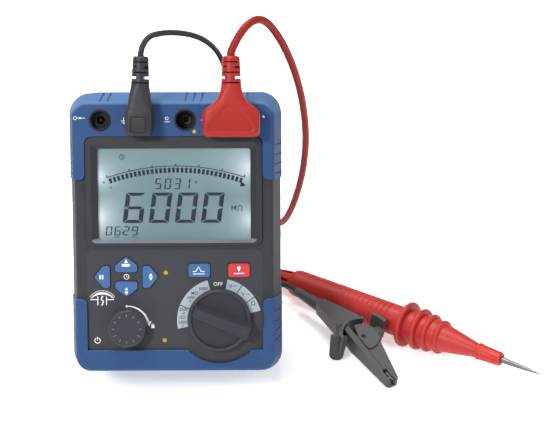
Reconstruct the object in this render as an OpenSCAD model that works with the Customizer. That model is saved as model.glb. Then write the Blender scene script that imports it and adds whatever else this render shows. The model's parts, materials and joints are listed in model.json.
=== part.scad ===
// Benchtop megohmmeter with its pair of test leads.
// It leans back on a fold-out stand, and a probe and a clip lie beside it.
// The meter is drawn upright, its face on the plane y = 0 and its back at y = case_d,
// and at_meter() leans it back onto the bench. The leads are drawn where they lie.

/* [Case] */
// Width of the case
case_w = 148; // [144:1:156]
// Height of the case along its face
case_h = 197; // [190:1:210]
// Depth of the case
case_d = 86; // [84:1:94]
// Radius of the four corners, seen from the front
corner_r = 15; // [13:0.5:18]
// Width of the slanted band round the face
slant_w = 5.5; // [4:0.5:7]
// Depth at which that band meets the straight sides
slant_d = 24; // [18:1:28]
// Radius of the front edge
front_edge_r = 3; // [2:0.5:4]
// Radius of the back edge
back_edge_r = 6; // [4:0.5:8]
// Angle at which the case leans back on its stand
lean = 25; // [20:1:28]
// Wall of the case shells
case_wall = 2.4; // [2:0.2:3]
// Distance from the face to the joint between the shells
split_y = 33; // [30:1:38]

/* [End guards] */
// Thickness of the rubbery end guards
guard_t = 2.4; // [2:0.2:3]
// How far the shell between the guards lies inside their outline
belt_inset = 0.8; // [0.4:0.2:1.4]
// How far the dark face lies behind the guards
face_y = 2.2; // [1.8:0.2:3]
// Height of the top guard, from the display to the top of the case
top_guard_h = 29; // [26:1:31]
// Length of the top guard's ears below it
top_ear_l = 29.7; // [22:0.1:38]
// Upper edge of the bottom guard
bottom_guard_z = 19.5; // [17:0.5:20]
// Upper end of the bottom guard's ears
bottom_ear_z = 55.5; // [48:0.5:62]
// Width of an ear, from the side of the case to its inner edge
ear_w = 13.2; // [11:0.2:13.4]
// Depth of the grip grooves in the guards
groove_depth = 0.9; // [0.5:0.1:1.2]

/* [Display] */
// Distance of the display frame's sides from the sides of the case
bezel_in = 13.7; // [13.7:0.1:15]
// Lower edge of the display frame
bezel_z = 92.7; // [91:0.1:95]
// Distance of the viewing window's sides from the sides of the case
window_in = 21.6; // [21:0.1:26]
// Lower edge of the viewing window
window_z = 96.2; // [95.4:0.1:98]
// Distance from the top of the display frame down to the viewing window
window_drop = 8.2; // [7.7:0.1:11.6]
// Thickness of the clear window
window_t = 1.2; // [1:0.1:1.4]
// Thickness of the liquid crystal panel
lcd_t = 2.5; // [2:0.1:3]

/* [Keys] */
// Middle of the four arrow keys, across
arrows_x = -33.5; // [-36:0.5:-31]
// Middle of the four arrow keys, up the face
arrows_z = 71.1; // [70:0.1:72]
// Distance from that middle to an arrow key's apex, up the face
arrow_reach = 14.1; // [13.6:0.1:15]
// Width of an arrow key across its flat end
arrow_w = 15.2; // [14:0.1:16]
// Length of an arrow key from its flat end to its apex
arrow_l = 10.8; // [10:0.1:11.4]
// Width of the two oblong keys
oblong_w = 14.8; // [13:0.1:16]
// Height of the two oblong keys
oblong_h = 9.3; // [8:0.1:10]
// Gap round a key in its hole
key_gap = 0.35; // [0.3:0.05:0.45]
// How far a key stands above the face
key_rise = 1.2; // [0.8:0.1:1.6]
// How far a key is pressed in
key_travel = 1.2; // [0.8:0.1:1.3]

/* [Test button] */
// Place of the test button across the face
test_x = -32.7; // [-34:0.1:-31]
// Place of the test button up the face
test_z = 36.5; // [36:0.1:38]
// Radius of the test button
test_r = 13.2; // [12.5:0.1:13.6]
// How far the test button stands above the face
test_rise = 11; // [10:0.5:12]
// How far the test button is pressed in
test_travel = 2.4; // [2:0.1:2.6]

/* [Function dial] */
// Place of the dial across the face
dial_x = 30.6; // [29:0.1:31]
// Place of the dial up the face
dial_z = 41.3; // [41:0.1:43]
// Radius of the dial's rim
dial_r = 21.5; // [20:0.5:22]
// Radius of the dished disc inside the rim
dish_r = 18.8; // [17.5:0.1:19]
// How far the rim stands above the face
dial_rise = 6.5; // [5:0.5:8]
// How far the handle bar stands above the face
bar_rise = 14; // [12:0.5:16]
// Angle of the handle bar at its pointing end
bar_angle = 157.5; // [135:22.5:180]
// Radius of the dark ground round the dial, where the guard stops
dial_ground_r = 31; // [30:0.5:32]
// Radius of the shafts of the dial and the test button
shaft_r = 3; // [2.6:0.1:3.4]
// Running clearance of the shafts and pins
running_gap = 0.05; // [0.03:0.01:0.08]

/* [Sockets] */
// Distance from the top of the case down to the row of sockets
socket_drop = 18.1; // [17:0.1:19]
// Distance from the earth socket to the guard socket
socket_step = 30.1; // [28:0.1:31]
// Distance of the power inlet from the left side of the case
dc_in = 24.4; // [23.5:0.1:25]
// Place of the guard socket across the face
guard_socket_x = 8.2; // [7:0.1:9]
// Middle of the two sockets of the double plug, across
pair_x = 40; // [39:0.1:40.5]
// Distance between these two sockets
pair_step = 22; // [20:0.1:23]
// Radius of a socket's well
well_r = 6.1; // [5.9:0.1:6.4]
// Depth of a socket's well
well_depth = 12; // [10:0.5:14]
// Radius of the bore of a socket's contact
contact_r = 2.05; // [2.03:0.01:2.1]
// Radius of the collar round a socket
collar_r = 7.3; // [7:0.1:7.8]

/* [Stand and batteries] */
// Width of the fold-out stand
stand_w = 64; // [56:1:66]
// Length of the stand from its pin to its foot
stand_l = 129; // [127.5:0.5:130]
// Height of the stand's pin up the back
stand_pin_z = 141; // [140:0.5:142]
// Thickness of the stand
stand_t = 5; // [4:0.2:5.6]
// Diameter of a battery cell
cell_d = 26.2; // [25:0.1:26.4]
// Length of a battery cell
cell_l = 50; // [49:0.1:50.2]
// Number of cells side by side
cell_columns = 4; // [4:1:4]

/* [Leads] */
// Radius of the red lead
red_r = 2.75; // [2.5:0.05:3]
// Radius of the black lead
black_r = 2; // [1.8:0.05:2.2]
// Mean radius of the coil that the red lead is wound into
red_coil_r = 30; // [28:0.5:32]
// Mean radius of the coil that the black lead is wound into
black_coil_r = 22; // [20:0.5:24]
// Radius of the probe's handle
grip_r = 10.8; // [10:0.1:11.5]
// Radius of the probe's largest guard ring
ring_r = 17.6; // [16.5:0.1:18]
// Length of the bare steel tip
tip_l = 33; // [28:1:36]
// Length of the clip's jaws from their pivot
jaw_l = 43; // [40:0.5:45]
// Width of the closed jaws at their pivot
jaw_w = 20; // [18:0.5:21]
// Angle to which the clip's jaws open
clip_open = 18; // [14:1:20]

/* [Hidden] */
$fn = 48;

half_w = case_w / 2;
bar_top_narrow = 3;
bar_top_wide = 4;
eps = 0.01;
touch_gap = 0.3;

// Heights up the face that follow the top of the case
top_guard_z = case_h - top_guard_h;
top_ear_z = top_guard_z - top_ear_l;
bezel_top_z = top_guard_z - touch_gap;
window_top_z = bezel_top_z - window_drop;
socket_z = case_h - socket_drop;

// Widths that follow the sides of the case
ear_x = half_w - ear_w;
bezel_w = case_w - 2 * bezel_in;
window_x = half_w - window_in;

// Depths of the layers behind the face
label_t = 0.5;
face_wall = 2.8;
face_back = face_y + face_wall;
window_back = face_back + window_t;
lcd_back = window_back + lcd_t;
control_y = 14;
board_t = 1.6;
control_back = control_y + board_t;
back_y = case_d - belt_inset;

// The stand, its pocket in the back and the battery bay
stand_gap = 0.8;
pocket_w = stand_w + 2 * stand_gap;
pocket_d = stand_t + 1.4;
pocket_y = back_y - pocket_d;
pin_r = 2;
knuckle_r = stand_t / 2 + 1.2;
stand_pin_y = pocket_y + knuckle_r + touch_gap;
pocket_top_z = stand_pin_z + knuckle_r + 1;
stand_end_z = stand_pin_z - stand_l;
tray_wall = 2;
contact_t = 0.5;
spring_l = 3.5;
cell_y = pocket_y - case_wall - cell_d / 2;
bay_w = cell_columns * cell_d + 1.2;
bay_z = 25;
bay_h = 2 * cell_l + spring_l + 2 * contact_t;
tray_y = cell_y - cell_d / 2 - tray_wall;
tray_to_board = 8.2;
main_y = tray_y - tray_to_board;
main_back = main_y + board_t;
door_gap = 0.3;
tray_w = bay_w + 2 * tray_wall;
door_boss_r = 2.5;
door_w = tray_w + 4 * door_boss_r + 4 * door_gap;
door_z = bay_z - tray_wall - 1;
door_h = bay_h + 2 * tray_wall + 2;

// The lean puts the rounded back bottom edge on the bench
base_z = (case_d - back_edge_r) * sin(lean) - back_edge_r * cos(lean) + back_edge_r;
// Front and back of the leaning case, measured from the foot of its face
bar_end_z = dial_z - dial_r * sin(180 - bar_angle) - bar_top_wide * cos(180 - bar_angle);
lean_front = min(
    (face_y - bar_rise) * cos(lean) + bar_end_z * sin(lean),
    (face_y - dial_rise) * cos(lean) + (dial_z - dial_r) * sin(lean));
lean_back = (case_d - back_edge_r) * cos(lean) + (case_h - back_edge_r) * sin(lean) + back_edge_r;
front_y = -(lean_front + lean_back) / 2;

// The stand's opening angle brings its foot down to the bench
pin_height = base_z - stand_pin_y * sin(lean) + stand_pin_z * cos(lean);
foot_r = stand_t / 2;
stand_open = lean + acos((pin_height - foot_r) / (stand_l - foot_r));

// Sockets, numbered from the left
dc_x = dc_in - half_w;
earth_x = guard_socket_x - socket_step;
common_x = pair_x - pair_step / 2;
line_x = pair_x + pair_step / 2;
jack_xs = [earth_x, guard_socket_x, common_x, line_x];
collar_rise = 0.5;
liner_r = well_r + 0.8;
liner_back = well_depth + 3;
contact_wall = 0.85;
contact_end = 26;
plug_xs = [earth_x, common_x, line_x];
plug_back = -1;

// Power inlet: a wide mouth, and in its floor the jack with its pin
dc_mouth = 5;
dc_jack_r = 2.9;
dc_jack_depth = 9.5;
dc_pin_r = 1.05;
dc_pin_sink = 1;

// Strain reliefs of the plugs, their tops measured up from the row of sockets
relief_y = -8;
relief_top = 43.1;
relief_l = 19.6;
relief_gap = 0.35;
black_plug_tilt = 2;

// Oblong keys and their row
key_row_z = 75.4;
peak_x = 16.8;
lamp_x = 44.2;
key_flange = 1;
key_flange_y = face_back + touch_gap;
key_foot_y = 9.2;
foot_in = 6;

// Places of the leads on the bench
shroud_at = [169.7, 4.6, 17.8];
probe_yaw = -38.6;
probe_pitch = 86.6;
clip_at = [127.2, 0.9, 19];
clip_yaw = -61.8;
clip_pitch = 13.5;
handle_yaw = 11.6;
handle_pitch = -15;
handle_l = 64.3;

// Routes of the leads, from plug to coil and from coil to tool
red_route = [
    [40, 6.25, 239.27], [40.1, 7.2, 241.3], [42.2, 9.4, 245.6], [46.4, 13.5, 252],
    [51.8, 19, 256.4], [58.3, 26.5, 256.6], [65.2, 34.5, 249.9], [73.4, 43.6, 234.4],
    [80.7, 54, 214], [86.5, 66, 191], [90.8, 79, 165], [93.3, 93, 137], [93.4, 108, 107],
    [90.4, 124, 74], [84.6, 140, 42], [77.6, 156, 17.5], [70.3, 171.5, 5.8], [66, 186, 3.2],
    [65.2, 202, 2.8]];
red_tail_route = [
    [-17.3, 202, 2.8], [-16.4, 182, 2.8], [-9, 161, 2.8], [5, 142, 2.8], [20, 124, 3],
    [36, 110, 5.5], [54.2, 96.8, 9], [63.6, 89.3, 9.7]];
black_route = [
    [-20.38, 6.23, 239.25], [-20.32, 7.1, 241.1], [-18.4, 9.4, 246.4], [-14.2, 13.5, 250.1],
    [-8, 19.5, 249.5], [-1.8, 27, 246.9], [6.3, 36, 242.5], [15.9, 46.5, 235.2],
    [24.3, 58, 224.1], [30.3, 70, 209.4], [34.4, 83, 188], [35.9, 96, 162], [33.4, 108.5, 132],
    [26, 121, 100], [14, 136, 62], [-1, 151, 30], [-14, 161, 12], [-27, 167, 3.3],
    [-42, 167.2, 2]];
black_tail_route = [
    [-42, 102.8, 2], [-22, 102, 2], [2, 96, 2], [24, 88, 2.5], [44, 80, 5], [62, 71, 10],
    [78.8, 59.9, 16.4], [86.4, 50.6, 17]];
red_coil_at = [24, 202];
black_coil_at = [-42, 135];

// Places on the meter and on the leads

// A place across, into and up the leaning meter
function on_meter(x, y, z) =
    [x, front_y + y * cos(lean) + z * sin(lean), base_z - y * sin(lean) + z * cos(lean)];

// Where a lead leaves a plug that leans sideways by an angle
function lead_exit(x, tilt) = let (l = relief_top + relief_gap)
    on_meter(x + l * sin(tilt), relief_y, socket_z + l * cos(tilt));

// A route that starts at its plug: the shift fades out down to the bench
function hung(route, exit) = [for (p = route) p + (exit - route[0]) * p[2] / route[0][2]];

// Stands the drawing of the meter on the bench
module at_meter() {
    translate([0, front_y, base_z]) rotate([-lean, 0, 0]) children();
}

// Lifts an outline drawn on the face, across and up, into a plate from y0 to y1
module plate(y0, y1) {
    translate([0, y1, 0]) rotate([90, 0, 0]) linear_extrude(y1 - y0) children();
}

// Turns what is drawn along z into the case, from the face at a given place
module into(x, z, y = 0) {
    translate([x, y, z]) rotate([-90, 0, 0]) children();
}

module rounded(w, h, r) {
    square([w - 2 * r, h], center = true);
    square([w, h - 2 * r], center = true);
    for (x = [-1, 1], y = [-1, 1])
        translate([x * (w / 2 - r), y * (h / 2 - r)]) circle(r);
}

// A rounded oblong between two corners
module rounded_box(x0, z0, x1, z1, r) {
    translate([(x0 + x1) / 2, (z0 + z1) / 2]) rounded(x1 - x0, z1 - z0, r);
}

function unit(v) = v / norm(v);
// Distance from a corner to where its fillet starts
function fillet_back(a, b, r) = let (c = a * b) r * sqrt((1 + c) / (1 - c));
function side_to(p, i, step) = unit(p[(i + step + len(p)) % len(p)] - p[i]);

// A convex outline, listed counter-clockwise, with a fillet of its own at each corner.
// A small bite makes each fillet's arc cross the sides and not only touch them.
module filleted(points, radii, bite = 0) {
    n = len(points);
    polygon([for (i = [0 : n - 1], step = [-1, 1])
        let (a = side_to(points, i, -1), b = side_to(points, i, 1))
        points[i] + (step < 0 ? a : b) * fillet_back(a, b, radii[i])]);
    for (i = [0 : n - 1]) if (radii[i] > 0) {
        a = side_to(points, i, -1);
        b = side_to(points, i, 1);
        d = fillet_back(a, b, radii[i]);
        translate(points[i] + unit(a + b) * sqrt(d * d + radii[i] * radii[i]))
            circle(radii[i] + bite);
    }
}

// Case outline

// Radius where the slanted band meets the straight side
slant_edge_r = 4;

// Section through the case's edge: across from the corner's centre, and back from the face
module edge_section(inset, front) {
    filleted(
        [[0, front], [corner_r - slant_w - inset, front], [corner_r - inset, slant_d],
         [corner_r - inset, case_d - inset], [0, case_d - inset]],
        [0, front_edge_r - inset / 2, slant_edge_r, back_edge_r - inset / 2, 0]);
}

// The case's outline as a solid, drawn in by an inset and starting at a depth
module case_block(inset, front) {
    cx = half_w - corner_r;
    cz = case_h / 2 - corner_r;
    translate([0, 0, case_h / 2]) {
        plate(front, case_d - inset) square([2 * cx, 2 * cz], center = true);
        for (turn = [0, 180]) rotate([0, turn, 0]) {
            translate([cx, 0, -cz]) linear_extrude(2 * cz) edge_section(inset, front);
            translate([-cx, 0, -cz]) rotate([0, 90, 0])
                linear_extrude(2 * cx) edge_section(inset, front);
        }
        for (turn = [0 : 3]) rotate([0, turn * 90, 0])
            translate(turn % 2 == 0 ? [cx, 0, cz] : [cz, 0, cx]) rotate([-90, 0, 0])
                rotate([0, 0, -90]) rotate_extrude(angle = 90) edge_section(inset, front);
    }
}

// Where the top guard covers the face
module top_guard_outline() {
    fillet = 5;
    ear_r = 4;
    translate([-half_w - 1, top_guard_z]) square([case_w + 2, case_h - top_guard_z + 1]);
    for (side = [0, 1]) mirror([side, 0]) {
        filleted(
            [[ear_x, top_ear_z], [half_w + 1, top_ear_z], [half_w + 1, top_guard_z + 1],
             [ear_x, top_guard_z + 1]],
            [ear_r, 0, 0, 0]);
        difference() {
            translate([ear_x - fillet, top_guard_z - fillet]) square(fillet + 1);
            translate([ear_x - fillet, top_guard_z - fillet]) circle(fillet);
            translate([ear_x - 2 * fillet, top_guard_z - 2 * fillet]) square([2 * fillet, fillet]);
        }
    }
}

// Where the bottom guard covers the face, before the dial's ground is taken out
module bottom_guard_outline() {
    ear_r = 4;
    translate([-half_w - 1, -1]) square([case_w + 2, bottom_guard_z + 1]);
    for (side = [0, 1]) mirror([side, 0])
        filleted(
            [[ear_x, bottom_guard_z - 1], [half_w + 1, bottom_guard_z - 1],
             [half_w + 1, bottom_ear_z], [ear_x, bottom_ear_z]],
            [0, 0, 0, ear_r]);
}

// Grooves sunk into a guard's slanted band, along its sides and its end
module grip_grooves(side_zs, end_xs, end_z) {
    groove_w = 1.3;
    side_reach = 5;
    end_reach = 9;
    difference() {
        union() {
            for (side = [-1, 1], z = side_zs)
                translate([side * half_w - side_reach, -1, z])
                    cube([2 * side_reach, slant_d + 2, groove_w]);
            for (x = end_xs)
                translate([x, -1, end_z - end_reach]) cube([groove_w, slant_d + 2, 2 * end_reach]);
        }
        case_block(groove_depth, -2);
    }
}

// Guards, bodies and covers

ear_groove_step = 6.6;
top_groove_zs = [for (i = [0 : 3]) top_ear_z + 3.4 + i * ear_groove_step];
bottom_groove_zs = [for (i = [0 : 3]) bottom_ear_z - 10 - i * ear_groove_step];
top_groove_xs = [-50, -45, 8, 13.5, 19, 45, 50];
bottom_groove_xs = [for (side = [-1, 1], i = [0 : 3]) side * 45 + (i - 1.5) * 9];

module top_guard() color("royalblue") at_meter() difference() {
    intersection() {
        case_block(0, 0);
        plate(-1, case_d + 1) top_guard_outline();
    }
    case_block(guard_t, face_y);
    grip_grooves(top_groove_zs, top_groove_xs, case_h);
    for (x = jack_xs) into(x, socket_z, -1) cylinder(r = liner_r, h = face_y + 2);
    into(dc_x, socket_z, -1) cylinder(r = liner_r, h = face_y + 2);
    for (x = concat(jack_xs, [dc_x])) into(x, socket_z, -1) cylinder(r = collar_r, h = 2);
}

module bottom_guard() color("royalblue") at_meter() difference() {
    intersection() {
        case_block(0, 0);
        plate(-1, case_d + 1) bottom_guard_outline();
    }
    case_block(guard_t, face_y);
    grip_grooves(bottom_groove_zs, bottom_groove_xs, 0);
    into(dial_x, dial_z, -1) cylinder(r = dial_ground_r, h = face_y + 1 + eps, $fn = 96);
    stand_pocket(0);
}

// The pocket in the back that takes the folded stand
module stand_pocket(wall) {
    plate(pocket_y - wall, case_d + 1)
        rounded_box(-pocket_w / 2 - wall, stand_end_z - 2 - wall, pocket_w / 2 + wall,
            pocket_top_z + wall, 3);
}

// Outside of the two shells: a core under the guards, and a fuller belt between them
module shell_outside() {
    case_block(guard_t, face_y);
    difference() {
        case_block(belt_inset, face_y);
        plate(-1, case_d + 1) top_guard_outline();
        plate(-1, case_d + 1) bottom_guard_outline();
    }
}

module slab(y0, y1) {
    translate([-case_w, y0, -case_h]) cube([2 * case_w, y1 - y0, 3 * case_h]);
}

case_screw_in = 12;
case_screw_low = 13.5;
case_screw_drop = 37;
case_screw_xs = [case_screw_in - half_w, half_w - case_screw_in];
case_screw_zs = [case_screw_low, case_h - case_screw_drop];
post_r = 4;
screw_r = 1.6;
board_hole_r = 2;

module front_case() color("#3f4148") at_meter() {
    difference() {
        intersection() {
            shell_outside();
            slab(0, split_y);
        }
        case_block(guard_t + case_wall, face_back);
        plate(0, face_back + 1) rounded_box(-window_x - 3.4, window_z - 1.8, window_x + 3.4,
            window_top_z + 3.4, 2);
        plate(0, face_y + label_t) label_outline(0);
        plate(0, face_back + 1) key_holes();
        for (x = concat(jack_xs, [dc_x]))
            into(x, socket_z) cylinder(r = liner_r, h = face_back + 1);
        into(dial_x, dial_z) cylinder(r = shaft_r + running_gap, h = face_back + 1);
        into(test_x, test_z) cylinder(r = plunger_r + running_gap, h = face_back + 1);
    }
    // Guide tube of the test button, inside the button
    into(test_x, test_z, tower_y) difference() {
        cylinder(r = tower_r, h = face_y + label_t - tower_y);
        translate([0, 0, -1]) cylinder(r = plunger_r + running_gap, h = 20);
    }
    // Bearing of the dial's shaft
    into(dial_x, dial_z, face_back) difference() {
        cylinder(r = shaft_r + 2, h = 2.5);
        translate([0, 0, -1]) cylinder(r = shaft_r + running_gap, h = 5);
    }
    // Posts that carry the control board and take the case screws
    for (x = case_screw_xs, z = case_screw_zs)
        into(x, z, face_back) difference() {
            cylinder(r = post_r, h = control_y - face_back);
            translate([0, 0, 2]) cylinder(r = screw_r, h = 20);
        }
}

module rear_case() color("#3a3c43") at_meter() {
    groove = 0.6;
    difference() {
        union() {
            difference() {
                intersection() {
                    shell_outside();
                    slab(split_y, case_d + 1);
                }
                case_block(guard_t + case_wall, 0);
            }
            // Walls of the stand's pocket above and below the battery door
            intersection() {
                stand_pocket(case_wall);
                case_block(guard_t, 0);
            }
            // Posts that meet the main board
            for (x = case_screw_xs, z = case_screw_zs)
                into(x, z, main_back) cylinder(r = post_r, h = case_d - guard_t - 1 - main_back);
            // Bosses for the door's screws
            for (x = door_screw_xs, z = door_screw_zs)
                into(x, z, back_y - case_wall - 10) cylinder(r = door_boss_r, h = 10);
            // Lugs that hold the stand's pin
            for (side = [-1, 1])
                translate([side * (stand_w / 2 - 13), pocket_y - 1, stand_pin_z - 4])
                    translate([-2.5, 0, 0]) cube([5, pocket_d, 8]);
        }
        stand_pocket_cut();
        // Shadow line between the shells
        intersection() {
            difference() {
                slab(split_y - 1, split_y + groove);
                case_block(guard_t + groove, 0);
            }
            slab(split_y, split_y + groove);
        }
        // Opening for the battery tray, and the step that its door lies on
        translate([-tray_w / 2 - door_gap, tray_y - 1, bay_z - tray_wall - door_gap])
            cube([tray_w + 2 * door_gap, case_d, bay_h + 2 * tray_wall + 2 * door_gap]);
        translate([-door_w / 2 - door_gap, back_y - case_wall, door_z - door_gap])
            cube([door_w + 2 * door_gap, case_d, door_h + 2 * door_gap]);
        for (x = door_screw_xs, z = door_screw_zs)
            into(x, z, back_y - case_wall - 11) cylinder(r = screw_r, h = 12);
        for (x = case_screw_xs, z = case_screw_zs) {
            into(x, z, main_back - 1) cylinder(r = board_hole_r, h = case_d);
            into(x, z, case_d - screw_head_d) cylinder(r = screw_head_r + 0.4, h = screw_head_d);
        }
        translate([-stand_w / 2, stand_pin_y, stand_pin_z]) rotate([0, 90, 0])
            cylinder(r = pin_r, h = stand_w);
    }
}

screw_head_r = 3.2;
screw_head_d = 6;

// The pocket itself, left full where the pin's lugs stand
module stand_pocket_cut() {
    difference() {
        stand_pocket(0);
        for (side = [-1, 1])
            translate([side * (stand_w / 2 - 13) - 2.5, pocket_y - 1, stand_pin_z - 4])
                cube([5, pocket_d - 0.4, 8]);
    }
}

module battery_door() color("#3a3c43") at_meter() difference() {
    union() {
        translate([-door_w / 2, back_y - case_wall, door_z]) cube([door_w, case_wall, door_h]);
        intersection() {
            stand_pocket(case_wall);
            translate([-door_w / 2, 0, bay_z - tray_wall])
                cube([door_w, case_d, bay_h + 2 * tray_wall]);
        }
    }
    stand_pocket(0);
    slab(back_y, case_d + 5);
    for (x = door_screw_xs, z = door_screw_zs)
        into(x, z, 0) cylinder(r = screw_r, h = case_d);
    // Finger grooves at the door's lower edge
    for (side = [-1, 1], i = [0 : 4])
        translate([side * (door_w / 2 - 8) - 5, back_y - 0.6, door_z + 6 + i * 3])
            cube([10, 2, 1.4]);
}

door_screw_x = tray_w / 2 + door_gap + door_boss_r;
door_screw_xs = [-door_screw_x, door_screw_x];
door_screw_zs = [door_z + 22, door_z + door_h - 8];

// A pan-head screw that points into the case from its outer end
module screw(length, head_r = 2.6, head_h = 1.6, r = screw_r) {
    difference() {
        cylinder(r = head_r, h = head_h);
        for (turn = [0, 90]) rotate(turn)
            translate([-head_r * 0.6, -0.35, -1]) cube([head_r * 1.2, 0.7, 1 + head_h * 0.6]);
    }
    translate([0, 0, head_h - eps]) cylinder(r = r, h = length);
}

door_screw_l = 8;

module door_screws() color("silver") at_meter()
    for (x = door_screw_xs, z = door_screw_zs)
        translate([x, back_y + 1.6, z]) rotate([90, 0, 0]) screw(door_screw_l, head_r = 2.2);

module case_screws() color("silver") at_meter()
    for (x = case_screw_xs, z = case_screw_zs)
        translate([x, case_d - screw_head_d + screw_head_h, z]) rotate([90, 0, 0])
            screw(case_d - screw_head_d - face_back - screw_end, head_r = screw_head_r,
                head_h = screw_head_h);
screw_head_h = 2.6;
screw_end = 4;

// Display

module display_bezel() color("#34363c") at_meter() {
    ridge = 3.6;
    difference() {
        union() {
            plate(face_y - 1.6, face_y)
                rounded_box(-bezel_w / 2, bezel_z, bezel_w / 2, bezel_top_z, 5);
            plate(face_y, face_back)
                rounded_box(-window_x - 3.4, window_z - 1.8, window_x + 3.4, window_top_z + 3.4, 2);
        }
        plate(-1, face_back + 1) rounded_box(-window_x, window_z, window_x, window_top_z, 2);
        // The frame dishes down to the window
        hull() {
            plate(face_y - 1.61, face_y - 1.6)
                rounded_box(-bezel_w / 2 + ridge, bezel_z + 2, bezel_w / 2 - ridge,
                    bezel_top_z - ridge, 3, $fn = 32);
            plate(face_back - 0.6, face_back - 0.59)
                rounded_box(-window_x, window_z, window_x, window_top_z, 2, $fn = 32);
        }
    }
}

module display_window() color("lightcyan", 0.4) at_meter()
    plate(face_back, window_back)
        rounded_box(-window_x - 2.6, window_z - 1.6, window_x + 2.6, window_top_z + 2.6, 1);

module lcd_panel() color("#8fb0ae") at_meter()
    plate(window_back, lcd_back)
        rounded_box(-window_x - 2, window_z - 1.5, window_x + 2, window_top_z + 2, 0.5);

module backlight_box() color("white") at_meter()
    plate(lcd_back, control_y)
        rounded_box(-window_x - 3, window_z - 1.7, window_x + 3, window_top_z + 3, 1);

// Keys

// Outline of an arrow key that points up, its apex at the origin
module arrow_outline(grow) {
    shoulder = 6.1;
    w = arrow_w / 2 + grow;
    filleted(
        [[0, grow * 1.3], [-w, -shoulder + grow * 0.5], [-w, -arrow_l - grow],
         [w, -arrow_l - grow], [w, -shoulder + grow * 0.5]],
        [2, 2, 1.6, 1.6, 2], 0.002);
}

module arrow_key_outline(turn, grow) {
    translate([arrows_x, arrows_z]) rotate(turn) translate([0, reach_of(turn)])
        arrow_outline(grow);
}

// The side keys stand further out than the upper and lower ones
function reach_of(turn) = turn % 180 == 0 ? arrow_reach : arrow_reach + 8;

module oblong_key_outline(x, grow) {
    translate([x, key_row_z]) rounded(oblong_w + 2 * grow, oblong_h + 2 * grow, 1.5);
}

module key_holes() {
    for (turn = [0, 90, 180, 270]) arrow_key_outline(turn, key_gap);
    for (x = [peak_x, lamp_x]) oblong_key_outline(x, key_gap);
}

// Cap, retaining flange and foot of a key, from its outlines
module key_body() {
    plate(face_y - key_rise, key_flange_y) children(0);
    plate(key_flange_y - eps, key_flange_y + key_flange) children(1);
    plate(key_flange_y + key_flange - eps, key_foot_y) children(2);
}

module arrow_key(turn) at_meter() key_body() {
    arrow_key_outline(turn, 0);
    arrow_key_outline(turn, 0.9);
    translate([arrows_x, arrows_z]) rotate(turn) translate([0, reach_of(turn) - foot_in])
        circle(3);
}

module oblong_key(x) at_meter() key_body() {
    oblong_key_outline(x, 0);
    oblong_key_outline(x, 0.9);
    translate([x, key_row_z]) circle(3);
}

module key_up() color("royalblue") arrow_key(0);
module key_left() color("royalblue") arrow_key(90);
module key_down() color("royalblue") arrow_key(180);
module key_right() color("royalblue") arrow_key(270);
module key_peak() color("royalblue") oblong_key(peak_x);
module key_lamp() color("crimson") oblong_key(lamp_x);

key_centres = concat(
    [for (turn = [0, 90, 180, 270]) [arrows_x - (reach_of(turn) - foot_in) * sin(turn),
        arrows_z + (reach_of(turn) - foot_in) * cos(turn)]],
    [[peak_x, key_row_z], [lamp_x, key_row_z]]);

module keypad_mat() color("gainsboro") at_meter() {
    mat_t = 1.4;
    left = 24.5;
    right = 10.8;
    below = 15.6;
    above = 16.9;
    dome_y = key_foot_y + key_travel + 0.1;
    difference() {
        plate(control_y - mat_t, control_y)
            rounded_box(arrows_x - left, arrows_z - below, lamp_x + right, arrows_z + above, 2);
        into(dial_x, dial_z, 0) cylinder(r = wafer_r + touch_gap, h = control_y + 1);
    }
    for (p = key_centres)
        into(p[0], p[1], dome_y)
            cylinder(r1 = 3, r2 = 4.4, h = control_y - mat_t - dome_y + eps, $fn = 24);
}

// Label over the lower part of the face

module label_outline(grow) {
    difference() {
        union() {
            rounded_box(-ear_x + touch_gap, bottom_guard_z + touch_gap, ear_x - touch_gap,
                bezel_z - 3.2, 4);
            translate([dial_x, dial_z]) circle(dial_ground_r - 0.6, $fn = 96);
        }
        if (grow > 0) {
            key_holes();
            translate([dial_x, dial_z]) circle(shaft_r + 1);
            translate([test_x, test_z]) circle(tower_r);
        }
    }
}

module label_panel() color("#4a4c54") at_meter()
    plate(face_y, face_y + label_t) label_outline(1);

// Function dial

wafer_r = 15;
rotor_r = 11;
wafer_y = control_y - 4;
knob_back = face_y - 0.4;
dish_y = face_y - dial_rise + 1.6;
disc_t = 1.2;

module function_knob() color("#2b2d32") at_meter() translate([dial_x, 0, dial_z]) {
    rim_w = dial_r - dish_r;
    plate(dish_y, dish_y + disc_t) circle(dial_r, $fn = 96);
    plate(dish_y + disc_t, knob_back) difference() {
        circle(dial_r, $fn = 96);
        circle(shaft_r);
    }
    // Rounded rim
    rotate([-90, 0, 0]) rotate_extrude($fn = 96) {
        translate([dial_r - rim_w / 2, face_y - dial_rise + rim_w / 2]) circle(rim_w / 2);
        translate([dial_r - rim_w, face_y - dial_rise + rim_w / 2]) square([rim_w, dial_rise / 2]);
    }
    // Handle bar, narrow at its pointing end and wide at the other
    intersection() {
        rotate([0, -bar_angle, 0]) bar();
        plate(face_y - bar_rise - 1, dish_y + 1) circle(dial_r + 1, $fn = 96);
    }
}

// Handle bar along +x with sloping sides, on the dished disc
module bar() {
    foot = 2.6;
    bar_sink = 0.5;
    rotate([90, 0, 0]) hull() {
        translate([0, 0, -dish_y - bar_sink]) linear_extrude(bar_sink)
            polygon([[-dial_r - 1, -bar_top_wide - foot], [dial_r - 2, -bar_top_narrow - foot + 1],
                [dial_r - 2, bar_top_narrow + foot - 1], [-dial_r - 1, bar_top_wide + foot]]);
        translate([0, 0, bar_rise - face_y - bar_sink]) linear_extrude(bar_sink)
            polygon([[-dial_r - 0.4, -bar_top_wide], [dial_r - 4, -bar_top_narrow],
                [dial_r - 4, bar_top_narrow], [-dial_r - 0.4, bar_top_wide]]);
    }
}

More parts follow.
